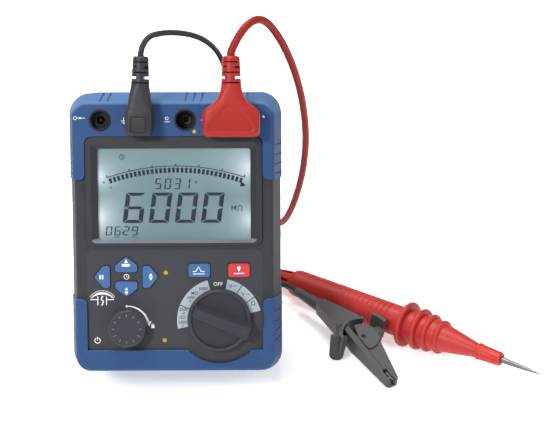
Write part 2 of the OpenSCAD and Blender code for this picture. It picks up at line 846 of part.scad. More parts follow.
module function_shaft() color("silver") at_meter()
    into(dial_x, dial_z, dish_y + disc_t)
        cylinder(r = shaft_r, h = control_y - touch_gap - dish_y - disc_t);

module switch_rotor() color("ivory") at_meter()
    into(dial_x, dial_z, wafer_y + touch_gap) difference() {
        cylinder(r = rotor_r, h = control_y - wafer_y - 2 * touch_gap);
        translate([0, 0, -1]) cylinder(r = shaft_r, h = 10);
    }

module switch_wafer() color("darkgoldenrod") at_meter()
    into(dial_x, dial_z, wafer_y - 1.2) difference() {
        cylinder(r = wafer_r, h = control_y - wafer_y + 1.2);
        translate([0, 0, 1.2]) cylinder(r = rotor_r + touch_gap, h = 10);
        translate([0, 0, -1]) cylinder(r = shaft_r + 1.4, h = 10);
    }

// Test button

tower_r = 6;
plunger_r = 4.6;
tower_y = -2;
knob_skin = 1.8;
test_front = face_y - test_rise;
test_knob_back = face_y - test_travel - 0.3;
plunger_front = test_front + knob_skin + touch_gap;
plunger_back = 7;

module test_knob() color("#2b2d32") at_meter() into(test_x, test_z) {
    flutes = 24;
    difference() {
        rotate_extrude($fn = 96) difference() {
            filleted(
                [[0, test_front], [test_r - 0.4, test_front], [test_r, test_knob_back],
                 [0, test_knob_back]],
                [0, 1.4, 0.3, 0]);
            translate([-1, test_front + knob_skin]) square([test_r - knob_skin + 1, test_rise]);
        }
        for (i = [0 : flutes - 1]) rotate(i * 360 / flutes)
            translate([test_r + 0.35, 0, test_front - 1]) cylinder(r = 0.8, h = test_rise);
    }
    translate([0, 0, test_front + knob_skin - eps])
        cylinder(r = shaft_r, h = plunger_back - test_front - knob_skin - 1);
}

module test_plunger() color("dimgray") at_meter() into(test_x, test_z) difference() {
    union() {
        translate([0, 0, plunger_front]) cylinder(r = plunger_r, h = plunger_back - plunger_front);
        // Clip ring that keeps the button from coming out
        translate([0, 0, face_back + touch_gap]) cylinder(r = plunger_r + 1.2, h = 1.2);
    }
    translate([0, 0, plunger_front - 1])
        cylinder(r = shaft_r + running_gap, h = plunger_back - plunger_front);
}

module test_spring() color("silver") at_meter() into(test_x, test_z) {
    wire = 0.45;
    spring_r = tower_r + 0.6 + wire;
    start = test_front + knob_skin + wire + 0.05;
    coil_spring(spring_r, wire, start, face_y - wire - 0.05, 4);
}

module test_switch() color("#26282c") at_meter() into(test_x, test_z) {
    body = 12;
    translate([-body / 2, -body / 2, control_y - 3.4]) cube([body, body, 3.4]);
    translate([0, 0, plunger_back + test_travel + 0.15])
        cylinder(r = 3, h = control_y - 3.4 - plunger_back - test_travel - 0.15 + eps);
}

// Sweeps: a ring of points carried along a path

function ring(at, ahead, r, sides) =
    let (z = unit(ahead),
         x = unit(cross(abs(z[2]) < 0.9 ? [0, 0, 1] : [1, 0, 0], z)),
         y = cross(z, x))
    [for (k = [0 : sides - 1])
        at + r * (x * cos(360 * k / sides) + y * sin(360 * k / sides))];

module sweep(path, r, sides) {
    n = len(path);
    points = [for (i = [0 : n - 1]) each ring(path[i],
        path[min(i + 1, n - 1)] - path[max(i - 1, 0)], r, sides)];
    faces = concat(
        [[for (k = [0 : sides - 1]) k]],
        [for (i = [0 : n - 2], k = [0 : sides - 1]) let (j = (k + 1) % sides)
            [i * sides + k, (i + 1) * sides + k, (i + 1) * sides + j, i * sides + j]],
        [[for (k = [sides - 1 : -1 : 0]) (n - 1) * sides + k]]);
    polyhedron(points, faces, convexity = 10);
}

// A wire spring wound round the z axis
module coil_spring(r, wire, z0, z1, turns) {
    steps = 12 * turns;
    sweep([for (i = [0 : steps]) let (t = i / steps)
        [r * cos(360 * turns * t), r * sin(360 * turns * t), z0 + (z1 - z0) * t]], wire, 6);
}

// A smooth curve through a route's points, with some steps between each pair
function bend(p0, p1, p2, p3, t) =
    0.5 * (2 * p1 + (p2 - p0) * t + (2 * p0 - 5 * p1 + 4 * p2 - p3) * t * t
        + (3 * p1 - p0 - 3 * p2 + p3) * t * t * t);
function smooth_route(p, steps) = let (n = len(p)) concat(
    [for (i = [0 : n - 2], k = [0 : steps - 1])
        bend(p[max(i - 1, 0)], p[i], p[i + 1], p[min(i + 2, n - 1)], k / steps)],
    [p[n - 1]]);

// Sockets

module socket_liners() color("#1d1e21") at_meter()
    for (x = jack_xs) into(x, socket_z) difference() {
        union() {
            translate([0, 0, -collar_rise]) cylinder(r = collar_r, h = collar_rise + 1);
            translate([0, 0, 1 - eps]) cylinder(r = liner_r, h = liner_back - 1);
        }
        translate([0, 0, -1]) cylinder(r = well_r, h = well_depth + 1);
        cylinder(r = contact_r + contact_wall, h = 40);
    }

module socket_contacts() color("gold") at_meter()
    for (x = jack_xs) into(x, socket_z) {
        translate([0, 0, well_depth]) difference() {
            cylinder(r = contact_r + contact_wall, h = contact_end - well_depth + 2);
            translate([0, 0, -1]) cylinder(r = contact_r, h = contact_end - well_depth + 1);
        }
        translate([0, 0, contact_end + 2 - eps]) cylinder(r = 1.2, h = main_y - contact_end - 2);
    }

module dc_socket() color("#1d1e21") at_meter() into(dc_x, socket_z) {
    jack_end = dc_mouth + dc_jack_depth;
    difference() {
        union() {
            translate([0, 0, -collar_rise]) cylinder(r = collar_r, h = collar_rise + 1);
            translate([0, 0, 1 - eps]) cylinder(r = liner_r, h = jack_end + 0.5);
        }
        translate([0, 0, -1]) cylinder(r = well_r, h = dc_mouth + 1);
        cylinder(r = dc_jack_r, h = jack_end);
    }
    translate([0, 0, dc_mouth + dc_pin_sink]) cylinder(r = dc_pin_r, h = dc_jack_depth);
}

// Boards and what they carry

// Outline of a board that the case screws pass through, up to a height
module board_outline(top_z) {
    board_x = half_w - board_in;
    difference() {
        rounded_box(-board_x, board_low_z, board_x, top_z, board_corner_r);
        for (x = case_screw_xs, z = case_screw_zs) translate([x, z]) circle(board_hole_r);
    }
}
board_in = 8;
board_low_z = 9.5;
board_corner_r = 5;

module control_board() color("darkgreen") at_meter()
    plate(control_y, control_back) board_outline(top_guard_z - 2);

module main_board() color("darkgreen") at_meter()
    plate(main_y, main_back) board_outline(case_h - board_in);

// Frame core of the transformer, round a winding on its middle
core_w = 32;
core_d = 26;
core_h = 26;
core_leg = 6;
core_yoke = 5;
transformer_x = -30;
transformer_drop = 32;

module hv_transformer() color("goldenrod") at_meter()
    translate([transformer_x, main_back, case_h - transformer_drop]) {
        difference() {
            translate([-core_w / 2, 0, -core_h / 2]) cube([core_w, core_d, core_h]);
            translate([-core_w / 2 + core_leg, -1, -core_h / 2 + core_yoke])
                cube([core_w - 2 * core_leg, core_d + 2, core_h - 2 * core_yoke]);
        }
        translate([-core_w / 2 + core_leg - eps, core_d / 2, 0]) rotate([0, 90, 0])
            cylinder(r = core_h / 2 - core_yoke - 0.1, h = core_w - 2 * core_leg + 2 * eps);
    }

// Storage capacitors in a row beside the transformer
capacitor_r = 8;
capacitor_l = 24;
capacitor_x = 6;
capacitor_step = 18;
capacitor_drop = 29;

module hv_capacitors() color("steelblue") at_meter()
    for (i = [0 : 2])
        into(capacitor_x + i * capacitor_step, case_h - capacitor_drop, main_back)
            cylinder(r = capacitor_r, h = capacitor_l);

// Processor and converters on the front of the main board: across, up, and side length
chips = [[-10, 120, 14], [18, 110, 10], [-36, 100, 9]];
chip_t = 1.6;
// Range relays
relay_w = 12;
relay_d = 10;
relay_h = 18;
relay_x = -52;
relay_step = 16;
relay_drop = 59;
// Sounder
sounder_r = 7;
sounder_h = 8;
sounder_x = 40;
sounder_z = 70;

module board_chips() color("#202226") at_meter() {
    for (c = chips)
        translate([c[0] - c[2] / 2, main_y - chip_t, c[1] - c[2] / 2]) cube([c[2], chip_t, c[2]]);
    for (i = [0 : 3])
        translate([relay_x + i * relay_step, main_y - relay_d, case_h - relay_drop])
            cube([relay_w, relay_d, relay_h]);
    into(sounder_x, sounder_z, main_y - sounder_h) cylinder(r = sounder_r, h = sounder_h);
}

ribbon_x = -20;
ribbon_z = 40;
ribbon_w = 24;
ribbon_t = 0.8;

module ribbon_cable() color("lightgray") at_meter()
    translate([ribbon_x, control_back, ribbon_z])
        cube([ribbon_w, main_y - control_back, ribbon_t]);

// Batteries

cell_xs = [for (i = [0 : cell_columns - 1]) (i - (cell_columns - 1) / 2) * cell_d];
cells_z = bay_z + contact_t + spring_l;

module battery_cells() color("#b8894a") at_meter()
    for (x = cell_xs, row = [0, 1]) translate([x, cell_y, cells_z + row * cell_l]) {
        cylinder(r = cell_d / 2 - 0.15, h = cell_l - 1.6);
        translate([0, 0, cell_l - 1.6 - eps]) cylinder(r = 3.3, h = 1.6);
    }

module battery_contacts() color("silver") at_meter()
    for (x = cell_xs) {
        for (z = [bay_z, bay_z + bay_h - contact_t])
            translate([x - 7, cell_y - 7, z]) cube([14, 14, contact_t]);
        translate([x, cell_y, bay_z + contact_t - eps]) cylinder(r1 = 5, r2 = 3, h = spring_l, $fn = 24);
    }

module battery_tray() color("#2e3036") at_meter() {
    difference() {
        translate([-tray_w / 2, tray_y, bay_z - tray_wall])
            cube([tray_w, back_y - case_wall - tray_y, bay_h + 2 * tray_wall]);
        translate([-bay_w / 2, tray_y + tray_wall, bay_z]) cube([bay_w, case_d, bay_h]);
        stand_pocket(case_wall);
    }
}

// Stand

module stand_pin() color("silver") at_meter()
    translate([-stand_w / 2 + 2, stand_pin_y, stand_pin_z]) rotate([0, 90, 0])
        cylinder(r = pin_r - running_gap, h = stand_w - 4);

// The stand hangs open from its pin, with its foot on the bench
module tilt_stand() color("#2e3036") at_meter()
    translate([0, stand_pin_y, stand_pin_z]) rotate([stand_open, 0, 0]) {
        leg = 13;
        length = stand_l - foot_r;
        difference() {
            union() {
                translate([0, stand_t / 2, -length / 2])
                    rotate([90, 0, 0]) linear_extrude(stand_t)
                        square([stand_w, length], center = true);
                translate([-stand_w / 2, 0, 0]) rotate([0, 90, 0])
                    cylinder(r = knuckle_r, h = stand_w);
                translate([-stand_w / 2, 0, -length]) rotate([0, 90, 0])
                    cylinder(r = foot_r, h = stand_w);
            }
            // Open middle of the stand
            translate([0, stand_t, -length / 2 - 4]) rotate([90, 0, 0])
                linear_extrude(2 * stand_t) rounded(stand_w - 2 * leg, length - 40, 6);
            translate([-stand_w, 0, 0]) rotate([0, 90, 0])
                cylinder(r = pin_r + running_gap, h = 2 * stand_w);
            // Room for the lugs
            for (side = [-1, 1])
                translate([side * (stand_w / 2 - 13) - 3, -10, -9]) cube([6, 20, 20]);
        }
    }

// Plugs

pin_reach = 22;
plug_pin_r = 2;

// Section of a plug's barrel, which enters the socket's well
module plug_barrel(x) into(x, socket_z) difference() {
    translate([0, 0, plug_back - eps]) cylinder(r = well_r - 0.2, h = well_depth - 1 - plug_back);
    translate([0, 0, plug_back + 1]) cylinder(r = contact_r + contact_wall + 0.6, h = 40);
}

module plug_pins() color("silver") at_meter()
    for (x = plug_xs) into(x, socket_z, plug_back + 1)
        cylinder(r = plug_pin_r, h = pin_reach);

// Strain relief whose top stands at relief_top, slotted in turn from its sides and from its
// front and back round a core
module relief(w) {
    slots = 5;
    pitch = 3.45;
    core = w * 0.2;
    foot = relief_top - relief_l;
    translate([0, relief_y, foot]) difference() {
        rotate_extrude()
            filleted([[0, 0], [w / 2, 0], [w / 2 - 1, relief_l], [0, relief_l]], [0, 0, 1.8, 0]);
        for (i = [0 : slots - 1], turn = [0, 180]) {
            slot = i % 2 == 0 ? 0.9 : 1.6;
            rotate(turn + (i % 2) * 90)
                translate([-w, core, relief_l - 4 - i * pitch - slot / 2]) cube([2 * w, w, slot]);
        }
    }
}

// A convex plug body with a soft front edge
module soft_body(front, half_l, low, shoulder, top_w, top) {
    bevel = 2.4;
    module outline(inset) {
        a = half_l - inset;
        b = top_w - inset;
        filleted([[-a + 1, low + inset], [a - 1, low + inset], [a, shoulder], [b, top - inset],
            [-b, top - inset], [-a, shoulder]], [4.6, 4.6, 5, 3, 3, 5], $fn = 32);
    }
    hull() {
        plate(front + bevel, plug_back) outline(0);
        plate(front, front + eps) outline(bevel);
    }
}

// Blends a plug's body into the foot of its strain relief
module plug_neck(front, half_l, z0, w) {
    hull() {
        plate(front + 1.5, plug_back - 0.5) translate([-half_l, z0]) square([2 * half_l, 1]);
        translate([0, relief_y, relief_top - relief_l - 1]) cylinder(r = w / 2, h = 1, $fn = 32);
    }
}

module black_plug() color("#33353b") at_meter() {
    front = -16;
    relief_w = 12.4;
    // Sunk line round a square on the front
    square_l = 10.6;
    square_z = -2.6;
    translate([earth_x, 0, socket_z]) rotate([0, black_plug_tilt, 0]) {
        difference() {
            soft_body(front, 9.5, -10, 6.5, 7.8, 11);
            plate(front - 1, front + 0.5) translate([0, square_z]) difference() {
                rounded(square_l, square_l, 1.5);
                rounded(square_l - 1.2, square_l - 1.2, 1);
            }
        }
        plug_neck(front + 1, 7.6, 9, relief_w + 0.4);
        relief(relief_w);
    }
    plug_barrel(earth_x);
}

module red_plug() color("crimson") at_meter() {
    front = -17;
    relief_w = 13.6;
    flare_r = 6;
    neck = 8;
    shoulder_z = 12;
    panel_rise = 0.6;
    translate([pair_x, 0, socket_z]) {
        soft_body(front, 19.6, -10.9, 5.5, 10.6, 13.2);
        // Hollow flare from the shoulders up to the neck
        plate(front + 2.4, plug_back - 1) difference() {
            translate([-neck - flare_r, shoulder_z]) square([2 * (neck + flare_r), flare_r]);
            for (side = [-1, 1])
                translate([side * (neck + flare_r), shoulder_z + flare_r]) circle(flare_r);
        }
        plug_neck(front + 1, neck, 14, relief_w + 0.4);
        relief(relief_w);
        // Raised panel on the front
        plate(front - panel_rise, front + 1)
            filleted([[-15.5, -7], [15.5, -7], [4, 11.5], [-4, 11.5]], [5, 5, 4, 4]);
    }
    for (x = [common_x, line_x]) plug_barrel(x);
}

// Leads and coils

module black_lead() color("#2c2e33")
    sweep(smooth_route(hung(black_route, lead_exit(earth_x, black_plug_tilt)), 2), black_r, 8);
module black_tail() color("#2c2e33") sweep(smooth_route(black_tail_route, 1), black_r, 8);
module red_lead() color("firebrick")
    sweep(smooth_route(hung(red_route, lead_exit(pair_x, 0)), 2), red_r, 8);
module red_tail() color("firebrick") sweep(smooth_route(red_tail_route, 1), red_r, 8);

// Outer shape of a coil of lead that lies on the bench
module coil(at, mean_r, lead_r, across) {
    w = 2 * lead_r * across;
    h = 4 * lead_r;
    translate([at[0], at[1], h / 2]) rotate_extrude($fn = 64)
        translate([mean_r, 0]) rounded(w, h, lead_r);
}

module red_coil() color("firebrick") coil(red_coil_at, red_coil_r, red_r, 3);
module black_coil() color("#2c2e33") coil(black_coil_at, black_coil_r, black_r, 4);

module coil_ties() color("black") {
    tie(red_coil_at, red_coil_r, red_r, 3, 100);
    tie(black_coil_at, black_coil_r, black_r, 4, 215);
}

// A flat strap over a coil's section, down to the bench on both sides
module tie(at, mean_r, lead_r, across, turn) {
    w = 2 * lead_r * across;
    h = 4 * lead_r;
    strap = 0.8;
    strap_gap = 0.04;
    strap_angle = 12;
    translate([at[0], at[1], h / 2]) rotate(turn) rotate_extrude(angle = strap_angle)
        translate([mean_r, 0]) difference() {
            rounded(w + 2 * strap, h + 2 * strap, lead_r + strap);
            rounded(w + 2 * strap_gap, h + 2 * strap_gap, lead_r + strap_gap);
            translate([-w, -2 * h - h / 2]) square([2 * w, 2 * h]);
        }
}

// Probe, drawn along z with its largest ring at the origin

module at_probe() {
    translate(shroud_at) rotate([0, probe_pitch, probe_yaw]) children();
}

grip_start = -107;
boot_start = -136;
collar_start = 61.7;
collar_end = 80.6;
ring_places = [[0, ring_r], [11.8, ring_r - 1.5], [20.8, ring_r - 3], [30.2, ring_r - 4.6]];

module probe_grip() color("crimson") at_probe() {
    rib_step = 4.6;
    difference() {
        rotate_extrude() polygon([[0, boot_start], [4.4, boot_start], [8.4, grip_start - 1],
            [grip_r - 0.6, grip_start], [grip_r, grip_start + 3], [grip_r + 0.8, -30],
            [grip_r + 1.2, -3], [0, -3]]);
        // Flutes of the boot behind the handle
        for (turn = [0 : 60 : 300]) rotate(turn)
            translate([5.4, -1.2, boot_start + 6]) cube([6, 2.4, 20]);
        // Fine grooves round the handle
        for (i = [0 : 14])
            translate([0, 0, -79 + i * rib_step]) rotate_extrude()
                translate([grip_r + 1.2, 0]) circle(0.9, $fn = 16);
    }
}

module probe_shroud() color("crimson") at_probe() {
    root_r = 12;
    bead_r = 2.1;
    teeth = 14;
    rotate_extrude($fn = 64) {
        polygon([[0, -3], [root_r, -3], [root_r, 26], [10.6, 33], [5.2, collar_start],
            [0, collar_start]]);
        for (p = ring_places) translate([0, p[0]]) {
            translate([0, -bead_r]) square([p[1] - bead_r, 2 * bead_r]);
            translate([p[1] - bead_r, 0]) circle(bead_r, $fn = 24);
        }
    }
    // Gripped collar that holds the tip
    translate([0, 0, collar_start - eps]) difference() {
        cylinder(r1 = 5.6, r2 = 4.8, h = collar_end - collar_start);
        for (i = [0 : teeth - 1]) rotate(i * 360 / teeth)
            translate([5.7, 0, -1]) cylinder(r = 0.5, h = collar_end - collar_start - 1, $fn = 16);
        translate([0, 0, 1]) cylinder(r = 2.3, h = 40);
    }
}

module probe_tip() color("silver") at_probe() rotate_extrude()
    polygon([[0, collar_start + 1], [2.3, collar_start + 1], [2.3, collar_end + 1],
        [1.5, collar_end + tip_l * 0.6], [0.2, collar_end + tip_l], [0, collar_end + tip_l]]);

// Clip, drawn with its jaws along x, z up and the guard's middle at the origin

module at_clip() {
    translate(clip_at) rotate([0, clip_pitch, clip_yaw]) children();
}

pivot_u = 17;
pivot_v = -1;
jaw_tip_u = pivot_u + jaw_l;
split_gap = 0.3;
jaw_h = 6.6;
jaw_tip_h = 3.6;
disc_r = 12;
spring_hole_r = 3.9;
shield_r = 18;
shield_t = 2.2;

// The split between the jaws, from the shield to beyond their tip
split_from = [4, -6.2];
split_to = [jaw_tip_u + 10, 0.3];
split_angle = atan2(split_to[1] - split_from[1], split_to[0] - split_from[0]);

// Outline of the closed jaws seen from above
module jaws_outline() {
    polygon([[-1, -jaw_w / 2 - 1], [pivot_u, -jaw_w / 2], [jaw_tip_u - 2, -4.6],
        [jaw_tip_u, -3.4], [jaw_tip_u, 3.4], [jaw_tip_u - 2, 4.6], [pivot_u, jaw_w / 2],
        [-1, jaw_w / 2 + 1]]);
}

// Everything on one side of the split
module split_side(side) {
    shift = side * split_gap / 2;
    polygon([[-30, split_from[1] + shift], split_from + [0, shift], split_to + [0, shift],
        [split_to[0], side * 40], [-30, side * 40]]);
}

// The moving side, cut so that its rear stays clear of the split when it opens
module lever_side() {
    intersection() {
        split_side(1);
        translate([pivot_u, pivot_v]) rotate(-clip_open) translate([-pivot_u, -pivot_v])
            split_side(1);
    }
}

// The jaws as a block that thins towards its tip, cut down to what its children cover
module jaw_block() {
    intersection() {
        translate([0, 0, -2 * jaw_h]) linear_extrude(4 * jaw_h) intersection() {
            jaws_outline();
            children();
        }
        rotate([90, 0, 0]) linear_extrude(4 * jaw_w, center = true)
            polygon([[-2, -jaw_h], [pivot_u, -jaw_h], [jaw_tip_u, -jaw_tip_h],
                [jaw_tip_u, jaw_tip_h], [pivot_u, jaw_h], [-2, jaw_h]]);
    }
}

// Turns what is drawn along x onto the split
module on_split() {
    translate([split_from[0], split_from[1], 0]) rotate(split_angle) children();
}

module clip_body() color("#2b2d31") at_clip() {
    // Fixed jaw
    difference() {
        jaw_block() split_side(-1);
        jaw_slot();
    }
    // Floor under the lever's disc, which carries the pin
    difference() {
        translate([pivot_u, pivot_v, -jaw_h]) cylinder(r = 9, h = 2.6);
        translate([pivot_u, pivot_v, -jaw_h - 1]) cylinder(r = clip_pin_r, h = 10);
    }
    // Shield behind the pivot, with a finger stop at its left end
    translate([pivot_u, pivot_v, -8]) difference() {
        rotate(132) rotate_extrude(angle = 128)
            translate([shield_r - shield_t, 0]) square([shield_t, 17]);
        // Room for the squeeze tab's web over the first stretch
        rotate(130) rotate_extrude(angle = 20)
            translate([shield_r - shield_t - 1, 5.5]) square([shield_t + 2, 20]);
    }
    translate([pivot_u - 4.5, -19.1, -15.7]) rotate([0, -clip_pitch, -30]) finger_stop();
    // Handle and strain relief
    rotate([0, handle_pitch, handle_yaw]) {
        hull() {
            translate([-2.5, -2, -0.5]) cube([5, 19, 13], center = true);
            translate([-34, 0, 0]) cube([4, 9, 9.5], center = true);
        }
        translate([-handle_l, 0, 0]) rotate([0, 90, 0]) difference() {
            cylinder(r1 = 3.4, r2 = 5, h = handle_l - 34);
            for (i = [0 : 3]) translate([0, 0, 4 + i * 6]) rotate_extrude()
                translate([5.4, 0]) circle(1.2, $fn = 16);
        }
    }
}

// A rounded tongue that stands up from its tip
module finger_stop() {
    rotate([90, 0, 90]) linear_extrude(3, center = true)
        filleted([[-5, 0], [5, 0], [6.5, 21], [-6.5, 21]], [4.5, 4.5, 1, 1]);
}

// Slot along the split that holds the metal, open at the tip and upwards near it
slot_from = pivot_u + 6;
slot_half_w = 1.9;
slot_half_h = 2.2;
slot_window = 10;
strip_end = jaw_tip_u - split_from[0] - 1;
module jaw_slot() {
    on_split() {
        translate([slot_from, -slot_half_w, -slot_half_h])
            cube([jaw_l, 2 * slot_half_w, 2 * slot_half_h]);
        translate([strip_end - slot_window, -slot_half_w, 0])
            cube([slot_window + 5, 2 * slot_half_w, 2 * jaw_h]);
    }
}

clip_pin_r = 1.8;

module clip_lever() color("#2b2d31") at_clip() difference() {
    union() {
        difference() {
            jaw_block() intersection() {
                lever_side();
                translate([pivot_u - 2, -20]) square([60, 40]);
            }
            translate([pivot_u, pivot_v, -jaw_h - 1]) cylinder(r = 9.4, h = 3.9);
        }
        // Disc round the pivot
        translate([pivot_u, pivot_v, -jaw_h + 2.9]) linear_extrude(2 * jaw_h - 2.3)
            intersection() {
                circle(disc_r);
                translate([-pivot_u, -pivot_v]) lever_side();
            }
        // Squeeze tab outside the shield
        translate([pivot_u, pivot_v, -11]) rotate(98) rotate_extrude(angle = 34)
            translate([shield_r + touch_gap, 0]) square([2.6, 24]);
        translate([pivot_u - 6, 8, -2]) cube([6, 10, 7]);
    }
    translate([pivot_u, pivot_v, -20]) cylinder(r = clip_pin_r + running_gap, h = 40);
    translate([pivot_u, pivot_v, -3.7]) cylinder(r = spring_hole_r, h = 6.4);
    jaw_slot();
}

// A toothed metal strip inside one jaw
module jaw_strip(side) {
    strip_h = slot_half_h - 0.2;
    tooth = 0.7;
    strip_l = strip_end - slot_from;
    teeth = 8;
    step = 3.6;
    on_split() mirror([0, side < 0 ? 1 : 0, 0]) translate([slot_from + 0.2, 0, -strip_h])
        linear_extrude(2 * strip_h) {
            translate([0, 0.2 + tooth]) square([strip_l, slot_half_w - 0.2 - tooth]);
            for (i = [1 : teeth])
                translate([strip_l - i * step, 0.2 + tooth + eps])
                    polygon([[-step / 2, 0], [0, -tooth], [step / 2, 0]]);
        }
}

module clip_jaw_fixed() color("silver") at_clip() jaw_strip(-1);
module clip_jaw_moving() color("silver") at_clip() jaw_strip(1);

module clip_pin() color("silver") at_clip()
    translate([pivot_u, pivot_v, -jaw_h]) cylinder(r = clip_pin_r, h = 2 * jaw_h + 0.2);

module clip_spring() color("silver") at_clip()
    translate([pivot_u, pivot_v, 0])
        coil_spring((clip_pin_r + spring_hole_r) / 2, 0.4, -3, 2, 4);

front_case();
rear_case();
top_guard();
bottom_guard();
display_bezel();
display_window();
lcd_panel();
backlight_box();
label_panel();
control_board();
main_board();
hv_transformer();
hv_capacitors();
board_chips();
socket_liners();
socket_contacts();
dc_socket();
keypad_mat();
switch_wafer();
test_switch();
battery_cells();
battery_contacts();
battery_tray();
battery_door();
door_screws();
case_screws();
stand_pin();
ribbon_cable();
function_knob();
function_shaft();
switch_rotor();
test_knob();
test_plunger();
test_spring();
key_up();
key_down();
key_left();
key_right();
key_peak();
key_lamp();
tilt_stand();
black_plug();
red_plug();
plug_pins();
black_lead();
black_coil();
black_tail();
red_lead();
red_coil();
red_tail();
coil_ties();
probe_grip();
probe_shroud();
probe_tip();
clip_body();
clip_lever();
clip_jaw_fixed();
clip_jaw_moving();
clip_pin();
clip_spring();
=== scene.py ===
import json
import math

import bmesh
import bpy
import numpy as np
from bpy.props import FloatProperty, FloatVectorProperty, IntProperty
from mathutils import Matrix, Vector


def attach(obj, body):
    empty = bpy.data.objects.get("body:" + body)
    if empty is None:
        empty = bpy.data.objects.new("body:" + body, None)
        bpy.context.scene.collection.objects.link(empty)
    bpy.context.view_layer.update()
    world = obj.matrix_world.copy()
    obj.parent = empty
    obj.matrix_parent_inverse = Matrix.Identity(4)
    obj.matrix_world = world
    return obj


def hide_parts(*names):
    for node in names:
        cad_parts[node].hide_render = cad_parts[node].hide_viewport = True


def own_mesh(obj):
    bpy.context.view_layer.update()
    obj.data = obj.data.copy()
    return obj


bl_info = {
    "name": "Insulation tester finish",
    "version": (1, 0, 0),
    "blender": (4, 5, 0),
    "location": "3D View > Sidebar > Tester",
    "description": "Finishes, printing, display, plugs, leads, probe and clip of an insulation tester",
    "category": "Object",
}

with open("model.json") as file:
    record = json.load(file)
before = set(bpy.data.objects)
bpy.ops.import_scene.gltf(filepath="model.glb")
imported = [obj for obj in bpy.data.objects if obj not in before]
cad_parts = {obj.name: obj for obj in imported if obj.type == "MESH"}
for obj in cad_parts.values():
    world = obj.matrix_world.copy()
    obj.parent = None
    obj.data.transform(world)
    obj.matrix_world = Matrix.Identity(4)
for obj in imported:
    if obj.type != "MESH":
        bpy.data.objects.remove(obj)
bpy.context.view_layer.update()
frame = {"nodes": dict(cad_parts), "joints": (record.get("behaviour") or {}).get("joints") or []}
MM = 0.001

# Places on the leaning case
# Sizes here are in millimetres: across the face, into the case, and up the face.

JOINTS = {joint["name"]: joint for joint in frame["joints"]}
DIAL = (30.6, 41.3)
TEST = (-32.7, 36.5)
ACROSS = np.array([1.0, 0.0, 0.0])
OUTWARD = np.array(JOINTS["dial_turn"]["axis"], float)
OUTWARD /= np.linalg.norm(OUTWARD)
UPWARD = np.cross(OUTWARD, ACROSS)
TILTED = np.array([ACROSS, -OUTWARD, UPWARD])
FOOT = np.array(JOINTS["dial_turn"]["pos_m"]) - MM * (DIAL[0] * ACROSS + DIAL[1] * UPWARD)

FACE_DEPTH = 2.2
GLASS_BACK = 6.2
INK_RISE = 0.05
SOCKET_Z = 178.9
SOCKETS = {"power": -49.6, "earth": -21.9, "guard": 8.2, "common": 29.0, "line": 51.0}


def on_meter(points):
    """Points across, into and up the case, in millimetres, as metres in the frame."""
    return FOOT + MM * (np.asarray(points, float) @ TILTED)


# Meshes

def placed(name, data):
    """A new object in the scene."""
    made = bpy.data.objects.new(name, data)
    bpy.context.scene.collection.objects.link(made)
    return made


def link_piece(name, vertices, faces, material, body, smooth=True):
    """A new mesh object from points in metres, riding on a body."""
    mesh = bpy.data.meshes.new(name)
    mesh.from_pydata(np.asarray(vertices, float).tolist(), [], faces)
    mesh.materials.append(material)
    mesh.polygons.foreach_set("use_smooth", [smooth] * len(mesh.polygons))
    mesh.update()
    made = placed(name, mesh)
    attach(made, body)
    return made


def closed_rings(rings):
    """Vertices and faces of a closed skin: rings of points one after another, capped at both ends.

    rings has the shape (number of rings, points in a ring, 3), and each end closes on the
    middle of its ring.
    """
    count, around = rings.shape[:2]
    vertices = np.vstack([rings.reshape(-1, 3), rings[0].mean(0), rings[-1].mean(0)])
    row = np.arange(count - 1)[:, None] * around
    here = np.arange(around)[None, :]
    ahead = (here + 1) % around
    quads = np.stack([row + here, row + ahead, row + around + ahead, row + around + here], -1)
    first, last = count * around, count * around + 1
    edge, after = np.arange(around), (np.arange(around) + 1) % around
    start = np.stack([after, edge, np.full(around, first)], -1)
    end = np.stack([edge, after, np.full(around, last)], -1) + [[(count - 1) * around] * 2 + [0]]
    return vertices, quads.reshape(-1, 4).tolist() + start.tolist() + end.tolist()


def outward(obj):
    """Turns a closed mesh's faces outwards, and merges what coincides."""
    work = bmesh.new()
    work.from_mesh(obj.data)
    bmesh.ops.remove_doubles(work, verts=work.verts, dist=1e-7)
    bmesh.ops.recalc_face_normals(work, faces=work.faces)
    work.to_mesh(obj.data)
    work.free()
    obj.data.update()
    return obj


class Inlay:
    """Flat closed shapes gathered into one mesh, each an outline on the face with a thickness."""

    def __init__(self, depth, rise=INK_RISE):
        self.back = depth
        self.front = depth - rise
        self.points = []
        self.faces = []

    def add(self, outline):
        outline = np.asarray(outline, float)
        n, start = len(outline), len(self.points)
        area = np.sum(outline[:, 0] * np.roll(outline[:, 1], -1)
                      - outline[:, 1] * np.roll(outline[:, 0], -1))
        if area < 0:
            outline = outline[::-1]
        for y in (self.front, self.back):
            self.points += [(x, y, z) for x, z in outline]
        self.faces.append([start + i for i in range(n)])
        self.faces.append([start + n + i for i in reversed(range(n))])
        self.faces += [[start + (i + 1) % n, start + i, start + n + i, start + n + (i + 1) % n]
                       for i in range(n)]

    def add_all(self, outlines):
        for outline in outlines:
            self.add(outline)

    def build(self, name, material, body):
        return link_piece(name, on_meter(self.points), self.faces, material, body, smooth=False)


# Outlines on the face, all as arrays of points across and up

def at_angle(centre, radius, degrees):
    """Points at angles round a centre, counted anticlockwise from the right."""
    turn = np.radians(degrees)
    return np.stack([centre[0] + radius * np.cos(turn), centre[1] + radius * np.sin(turn)], -1)


def sector(centre, inner, outer, start, end, steps=24):
    turn = np.linspace(start, end, steps)
    return np.vstack([at_angle(centre, outer, turn), at_angle(centre, inner, turn[::-1])])


def disc(centre, radius, steps=32):
    return at_angle(centre, radius, np.arange(steps) * 360 / steps)


def hoop(centre, radius, width):
    """A ring as two half sectors."""
    return [sector(centre, radius - width / 2, radius + width / 2, a, a + 180) for a in (0, 180)]


